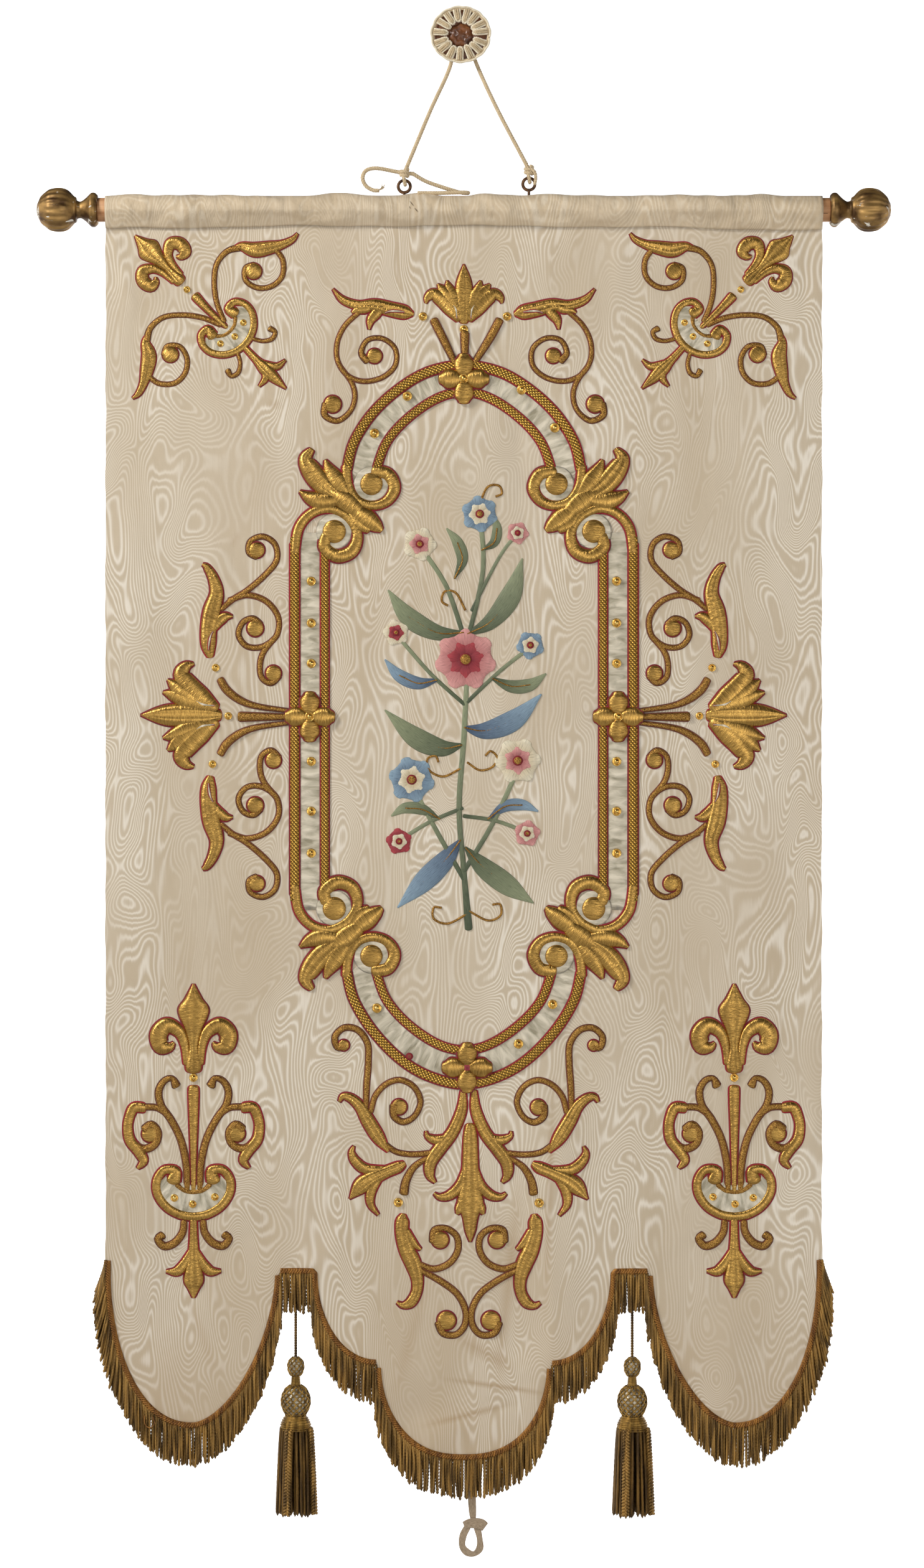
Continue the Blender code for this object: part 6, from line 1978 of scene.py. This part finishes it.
@dataclass
class PoleWork:
    """The pole with its bare ends, the gilded ball finials and the wire eyes."""

    radius: float = 0.015
    length: float = 0.926
    ring: float = 0.0077
    wire: float = 0.0020
    shank: float = 0.0017

    def build(self) -> None:
        """Makes the pole, the finials and the eyes."""
        half = self.length / 2
        rows = [(0.0, 0.0), (0.0, 0.0142), (0.001, self.radius)]
        rows += [(self.length * i / 30, self.radius) for i in range(1, 30)]
        rows += [(self.length - 0.001, self.radius), (self.length, 0.0142), (self.length, 0.0)]
        shape = Shape()
        axes = np.array([[1, 0, 0], [0, 1, 0], [0, 0, 1]], float)
        shape.turned(rows, (BANNER_X - half, PLANE_Y, POLE_Z), axes, BARE_WOOD, 40)
        crack = np.array([[BANNER_X + half - 0.012 + 0.004 * i, 0.0, 0.0] for i in range(3)])
        angle = math.radians(205)
        crack[:, 1] = PLANE_Y + self.radius * math.cos(angle)
        crack[:, 2] = POLE_Z + self.radius * math.sin(angle)
        shape.tube(crack, 0.0004, BROWN_WOOD, 4)
        shape.piece("round_pole", "pole_wood", "pole")
        for name, side in (("left", -1), ("right", 1)):
            self.finial(name, side)
        self.eye("left", LEFT_EYE)
        self.eye("right", RIGHT_EYE)

    def finial(self, name: str, side: int) -> None:
        """Turns one finial: a flared foot, a neck with a bead and a shallowly ribbed ball."""
        rows = smooth_line([(a, b) for a, b in FINIAL_PROFILE[1:-1]], 0.8) * MM
        rows = np.vstack([[(0.0, 0.0)], rows, [(0.0773, 0.0)]])
        shape = Shape()
        axes = np.array([[side, 0, 0], [0, side, 0], [0, 0, 1]], float)
        centre = (BANNER_X + side * (self.length / 2 + 0.0003), PLANE_Y, POLE_Z)
        shape.turned(rows, centre, axes, OldGilding(), 120, (20, 0.022, 0.030, 0.0773))
        shape.piece("ball_finial_" + name, "old_gilding", "finial_" + name)

    def eye(self, name: str, place: Point) -> None:
        """Bends one wire eye with its shank."""
        shape = Shape()
        turn = np.linspace(0, 2 * math.pi, 57)[:, None]
        rise = 0.0006 * turn / math.pi
        ring = np.array(place) + np.hstack([self.ring * np.sin(turn), rise, -self.ring * np.cos(turn)])
        shape.tube(ring, self.wire, DarkIron(), 12)
        low = place[2] - self.ring
        shank = np.array([[place[0], place[1], low - 0.020 * i / 8] for i in range(9)])
        shape.tube(shank, self.shank, DarkIron(), 12)
        shape.piece("wire_eye_" + name, "dark_iron", "screw_eye_" + name)


@dataclass
class Fringe:
    """Looped gimp along the hem, and bullion strands that hang from it."""

    pitch: float = 3.5
    second_pitch: float = 3.5 * 1.3
    second_depth: float = 3.6
    drop: float = 51.0
    radius: float = 1.8
    rings: int = 24
    sides: int = 6
    twist: float = 8.0
    splay: float = 13.0
    gap: float = 0.05

    def build(self) -> None:
        """Makes the five lengths of fringe."""
        half = (CLOTH.step_u, CLOTH.notch_outer, CLOTH.half_width)
        edges = (*(-u for u in half[::-1]), *half)
        for i, name in enumerate(("outer_left", "inner_left", "centre", "inner_right", "outer_right")):
            draw = np.random.default_rng(200 + i)
            shape = Shape()
            start = edges[i] + (self.gap if i else 0.0)
            end = edges[i + 1] - (self.gap if i < 4 else 0.0)
            self.gimp(shape, start, end)
            self.strands(shape, CLOTH.hem_line(start, end, self.pitch), draw)
            self.strands(shape, CLOTH.hem_line(start, end, self.second_pitch), draw, self.second_depth)
            if i == 0:
                self.stray_loop(shape)
            shape.piece("bullion_" + name, "bullion", "fringe_" + name)

    def stray_loop(self, shape: Shape) -> None:
        """Adds the loop of braid cord that has come loose at the foot of the left lobe."""
        chart = [(-404, -878, 2), (-403, -888, 4), (-397, -893, 5), (-391, -888, 5), (-393, -879, 3)]
        line = smooth_line(chart, 0.9)
        shape.tube(CLOTH.world(line[:, 0], line[:, 1], line[:, 2]), 0.0009, GIMP_GOLD, 6)

    def gimp(self, shape: Shape, start: float, end: float) -> None:
        """Lays the braid: a flat tape under two cords that loop across each other."""
        line = CLOTH.hem_line(start, end, 0.9)
        along, normal = flat_frames(line)
        far = lengths(line)
        middle = line + normal * 3.0
        points = []
        for t, h in ((-3.8, 0.2), (3.8, 0.2), (3.8, 1.2), (0.0, 1.7), (-3.8, 1.2)):
            place = middle + normal * t
            points.append(CLOTH.world(place[:, 0], place[:, 1], np.full(len(line), h)))
        points = np.stack(points, 1).reshape(-1, 3)
        stitch = np.zeros_like(points)
        stitch[:, 0] = np.repeat(far, 5)
        shape.add(points, closed_faces(len(line), 5), stitch, GIMP_GOLD)
        for phase in (0.0, math.pi):
            wave = 2 * math.pi * far / 6.6 + phase
            place = middle + normal * (2.8 * np.sin(wave))[:, None] + along * (0.9 * np.sin(2 * wave))[:, None]
            height = 1.9 + 0.45 * np.cos(wave + 0.6)
            shape.tube(CLOTH.world(place[:, 0], place[:, 1], height), 0.0010, GIMP_GOLD, 6)

    def strands(self, shape: Shape, line: np.ndarray, draw: np.random.Generator, behind: float = 0.0) -> None:
        """Hangs a row of strands from a line of chart points, some way behind the front row."""
        count = len(line)
        order = np.arange(count) % 3 - 1
        s = np.linspace(0, 1, self.rings)
        drop = self.drop * draw.uniform(0.93, 1.03, count) * (0.86 if behind else 1.0)
        edge = np.clip((np.abs(line[:, 0]) - CLOTH.half_width + 30) / 30, 0, 1)
        lean = np.sign(line[:, 0]) * self.splay * edge**1.5 + draw.normal(0, 1.1, count)
        bend = draw.normal(0, 0.7, count)
        u = line[:, :1] + lean[:, None] * s**1.3 + bend[:, None] * np.sin(math.pi * s)
        v = line[:, 1:] + 0.8 - (drop[:, None] + 0.8) * s
        root_h = -(CLOTH.front(line[:, 0], line[:, 1] + 2.0) - PLANE_Y) / MM
        depth = order * 1.5 + draw.normal(0, 0.4, count) - behind
        h = root_h[:, None] * (1 - 0.35 * s) + depth[:, None] * np.minimum(1, s * 4) + 0.2
        h = h + (edge * 1.5)[:, None] * s
        swell = self.radius * draw.uniform(0.92, 1.08, count)[:, None]
        radius = swell * np.sqrt(np.clip(1 - np.clip((s - 0.965) / 0.035, 0, 1) ** 2, 0.02, 1))
        angle = np.arange(self.sides) * 2 * math.pi / self.sides
        spin = 2 * math.pi * drop[:, None] * s / self.twist + draw.uniform(0, math.pi, count)[:, None]
        lobes = 1 + 0.20 * np.cos(2 * (angle - spin[..., None]))
        reach = radius[..., None] * lobes * MM
        x = BANNER_X + u[..., None] * MM + reach * np.cos(angle)
        y = PLANE_Y - h[..., None] * MM - reach * np.sin(angle)
        z = np.broadcast_to((CHART_Z + v * MM)[..., None], x.shape)
        points = np.stack([x, y, z], -1).reshape(-1, 3)
        far = np.broadcast_to((drop[:, None] * s)[..., None], x.shape)
        stitch = np.stack([far, np.broadcast_to(angle, x.shape), far / self.drop], -1).reshape(-1, 3)
        starts = (np.arange(count) * self.rings * self.sides)[:, None, None]
        one = closed_faces(self.rings, self.sides)
        faces = [(face + starts).reshape(-1, face.shape[1]) for face in one]
        shape.add(points, faces, stitch, FRINGE_GOLD)


@dataclass
class Tassel:
    """A tassel in a notch of the hem: cord, netted knob and ball, bell of wound rings and skirt."""

    side: int
    name: str
    u: float = 213.0
    notch_v: float = -699.0
    skirt: float = 110.0

    def build(self) -> None:
        """Makes the head and the skirt."""
        self.x = BANNER_X + self.side * self.u * MM
        self.y = float(CLOTH.front(np.array(self.side * self.u), np.array(self.notch_v))) + 0.0032
        self.head()
        self.strands()

    def at(self, v: float) -> float:
        """The height of a chart row."""
        return CHART_Z + v * MM

    def wound(self, shape: Shape, rows: Sequence[Sequence[float]], finish: Finish, sides: int = 40) -> None:
        """Turns a part about the tassel's own line from rows of chart height and radius in metres."""
        top = rows[0][0]
        profile = [((top - v) * MM, radius) for v, radius in rows]
        axes = np.array([[0, 0, -1], [1, 0, 0], [0, -1, 0]], float)
        shape.turned(profile, (self.x, self.y, self.at(top)), axes, finish, sides)

    def net(self, shape: Shape, rows: np.ndarray, strands: int, turn: float, radius: float) -> None:
        """Winds a net of fine cords both ways round a profile."""
        v = np.linspace(rows[0, 0], rows[-1, 0], 30)
        reach = np.interp(-v, -rows[:, 0], rows[:, 1]) + radius * 0.7
        share = np.linspace(0, 1, 30)
        for way in (1, -1):
            for i in range(strands):
                angle = 2 * math.pi * i / strands + way * turn * share
                lift = reach + (0.0003 if way > 0 else 0.0)
                line = np.stack([
                    self.x + lift * np.cos(angle), self.y - lift * np.sin(angle), CHART_Z + v * MM,
                ], -1)
                shape.tube(line, radius, BELL_GOLD, 6)

    def head(self) -> None:
        """Makes the cord, the knob, the ball and the bell."""
        shape = Shape()
        cord = np.stack([
            np.full(90, self.x), np.full(90, self.y), self.at(-700) - np.linspace(0, 0.108, 90),
        ], -1)
        shape.rope(cord, TASSEL_GOLD, 2, 0.0011, 0.0010, 0.0065, 8)
        knob = [(-805, 0.003), (-811, 0.0086), (-818, 0.0096), (-825, 0.0080), (-829, 0.0050)]
        knob = smooth_line(knob, 1.0)
        self.wound(shape, [(-804, 0.0)] + [tuple(row) for row in knob] + [(-831, 0.0)], FOIL)
        self.net(shape, knob, 9, 2.4, 0.00075)
        neck = [(-829 - i * 0.5, 0.0052 + 0.0005 * math.sin(i * math.pi / 1.6) + i * 0.00004) for i in range(28)]
        self.wound(shape, neck, BELL_GOLD)
        ball = [(-841, 0.0066), (-846, 0.0126), (-855, 0.0168), (-864, 0.0174), (-872, 0.0150),
        (-880, 0.0108)]
        ball = smooth_line(ball, 1.0)
        self.wound(shape, [(-840, 0.0)] + [tuple(row) for row in ball] + [(-882, 0.0)], FOIL)
        self.net(shape, ball, 13, 2.5, 0.00095)
        bell = [(-878.0, 0.0)]
        for i in range(60):
            share = i / 59
            reach = 0.0112 + (0.0190 - 0.0112) * min(1.0, share * 1.6) ** 0.55
            bell.append((-878.5 - 18.5 * share, reach + 0.0007 * math.sin(share * 2 * math.pi * 6.5)))
        bell.append((-897.5, 0.0))
        self.wound(shape, bell, BELL_GOLD)
        shape.piece("netted_head_" + self.name, "bullion", "tassel_head_" + self.name)

    def strands(self) -> None:
        """Hangs the skirt's strands in three rings, with two plaited chains in front."""
        draw = np.random.default_rng(31 + self.side)
        shape = Shape()
        top = self.at(-894)
        rings = ((25, 0.0180, 0.0240), (18, 0.0136, 0.0186), (12, 0.0088, 0.0120), (5, 0.0040, 0.0055))
        for count, high, low in rings:
            for i in range(count):
                angle = 2 * math.pi * (i + 0.5 * (count % 4 == 2)) / count + draw.normal(0, 0.03)
                s = np.linspace(0, 1, 32)
                reach = high + (low - high) * (0.75 * s**0.6 + 0.25 * s) + draw.normal(0, 0.0004)
                turn = angle + draw.normal(0, 0.05) * s + draw.normal(0, 0.02) * np.sin(math.pi * s)
                drop = self.skirt * MM * draw.uniform(0.97, 1.02)
                line = np.stack([
                    self.x + reach * np.cos(turn), self.y - reach * np.sin(turn) * 0.92, top - drop * s,
                ], -1)
                radius = 0.0021 * np.sqrt(np.clip(1 - np.clip((s - 0.97) / 0.03, 0, 1) ** 2, 0.03, 1))
                radius = radius * (1 + 0.06 * np.sin(2 * math.pi * s * 16))
                shape.tube(line, radius, TASSEL_GOLD, 6)
        for angle in (1.95, 0.42):
            s = np.linspace(0, 1, 140)
            reach = 0.0180 + 0.0060 * (0.75 * s**0.6 + 0.25 * s) + 0.0026
            for phase in (0.0, 2 * math.pi / 3, 4 * math.pi / 3):
                weave = 2 * math.pi * s * 9 + phase
                turn = angle + 0.13 * np.sin(weave)
                out = reach + 0.0018 * np.sin(2 * weave)
                line = np.stack([
                    self.x + out * np.cos(turn),
                    self.y - out * np.sin(turn) * 0.92,
                    top - self.skirt * MM * 0.98 * s,
                ], -1)
                shape.tube(line, 0.0019, FRINGE_GOLD, 6)
        shape.piece("strand_skirt_" + self.name, "bullion", "tassel_skirt_" + self.name)


@dataclass
class TieTape:
    """The cotton tape at the foot of the centre lobe, tied in a small loop."""

    thick: float = 0.5
    rows: tuple[tuple[Row, ...], ...] = (
        ((9, -930, 5.2), (9.5, -955, 5.3), (10, -980, 5.2), (11, -1002, 4.6), (12, -1012, 3.2)),
        (
            (5, -1020, 4.2), (-1, -1032, 4.6), (-2, -1045, 4.0), (4, -1053, 4.6), (13, -1055, 3.4),
            (20, -1048, 4.6),
            (20, -1036, 3.6), (17, -1022, 4.6),
        ),
        ((0, -1019, 5.0), (9, -1016, 6.2), (21, -1017, 6.8), (27, -1021, 6.0)),
    )

    def build(self) -> None:
        shape = Shape()
        for i, row in enumerate(self.rows):
            line = smooth_line(row, 1.5)
            normal = flat_frames(line)[1]
            far = lengths(line[:, :2])
            front = []
            for t in np.linspace(-1, 1, 9):
                place = line[:, :2] + normal * (t * line[:, 2])[:, None]
                curl = 0.9 * i + 0.5 * np.sin(far / 9 + t) + 0.3 * t**2
                y = PLANE_Y + 0.0072 - curl * MM
                front.append(np.stack([BANNER_X + place[:, 0] * MM, y, CHART_Z + place[:, 1] * MM], -1))
            front = np.stack(front, 1)
            back = front[:, ::-1] + np.array([0.0, self.thick * MM, 0.0])
            ring = np.concatenate([front, back], 1)
            count, sides = ring.shape[:2]
            points = ring.reshape(-1, 3)
            stitch = np.zeros_like(points)
            stitch[:, 0] = np.repeat(far, sides)
            stitch[:, 1] = np.tile(np.arange(sides) * 0.6, count)
            shape.add(points, closed_faces(count, sides), stitch, OLD_TAPE)
        piece = shape.piece("cotton_tie_tape", "cotton_cord", "tie_tape")


def main() -> None:
    """Builds the banner's parts in order and reports each piece."""
    logging.basicConfig(level=logging.INFO, format="%(message)s")
    Studio().build()
    Cords().build()
    WallBoss().build()
    PoleWork().build()
    Heading().build()
    BannerCloth().build()
    GoldFrame().build()
    Appliques().build()
    FlowerSpray().build()
    Fringe().build()
    for side, name in ((-1, "left"), (1, "right")):
        Tassel(side, name).build()
    TieTape().build()


if __name__ == "__main__":
    main()
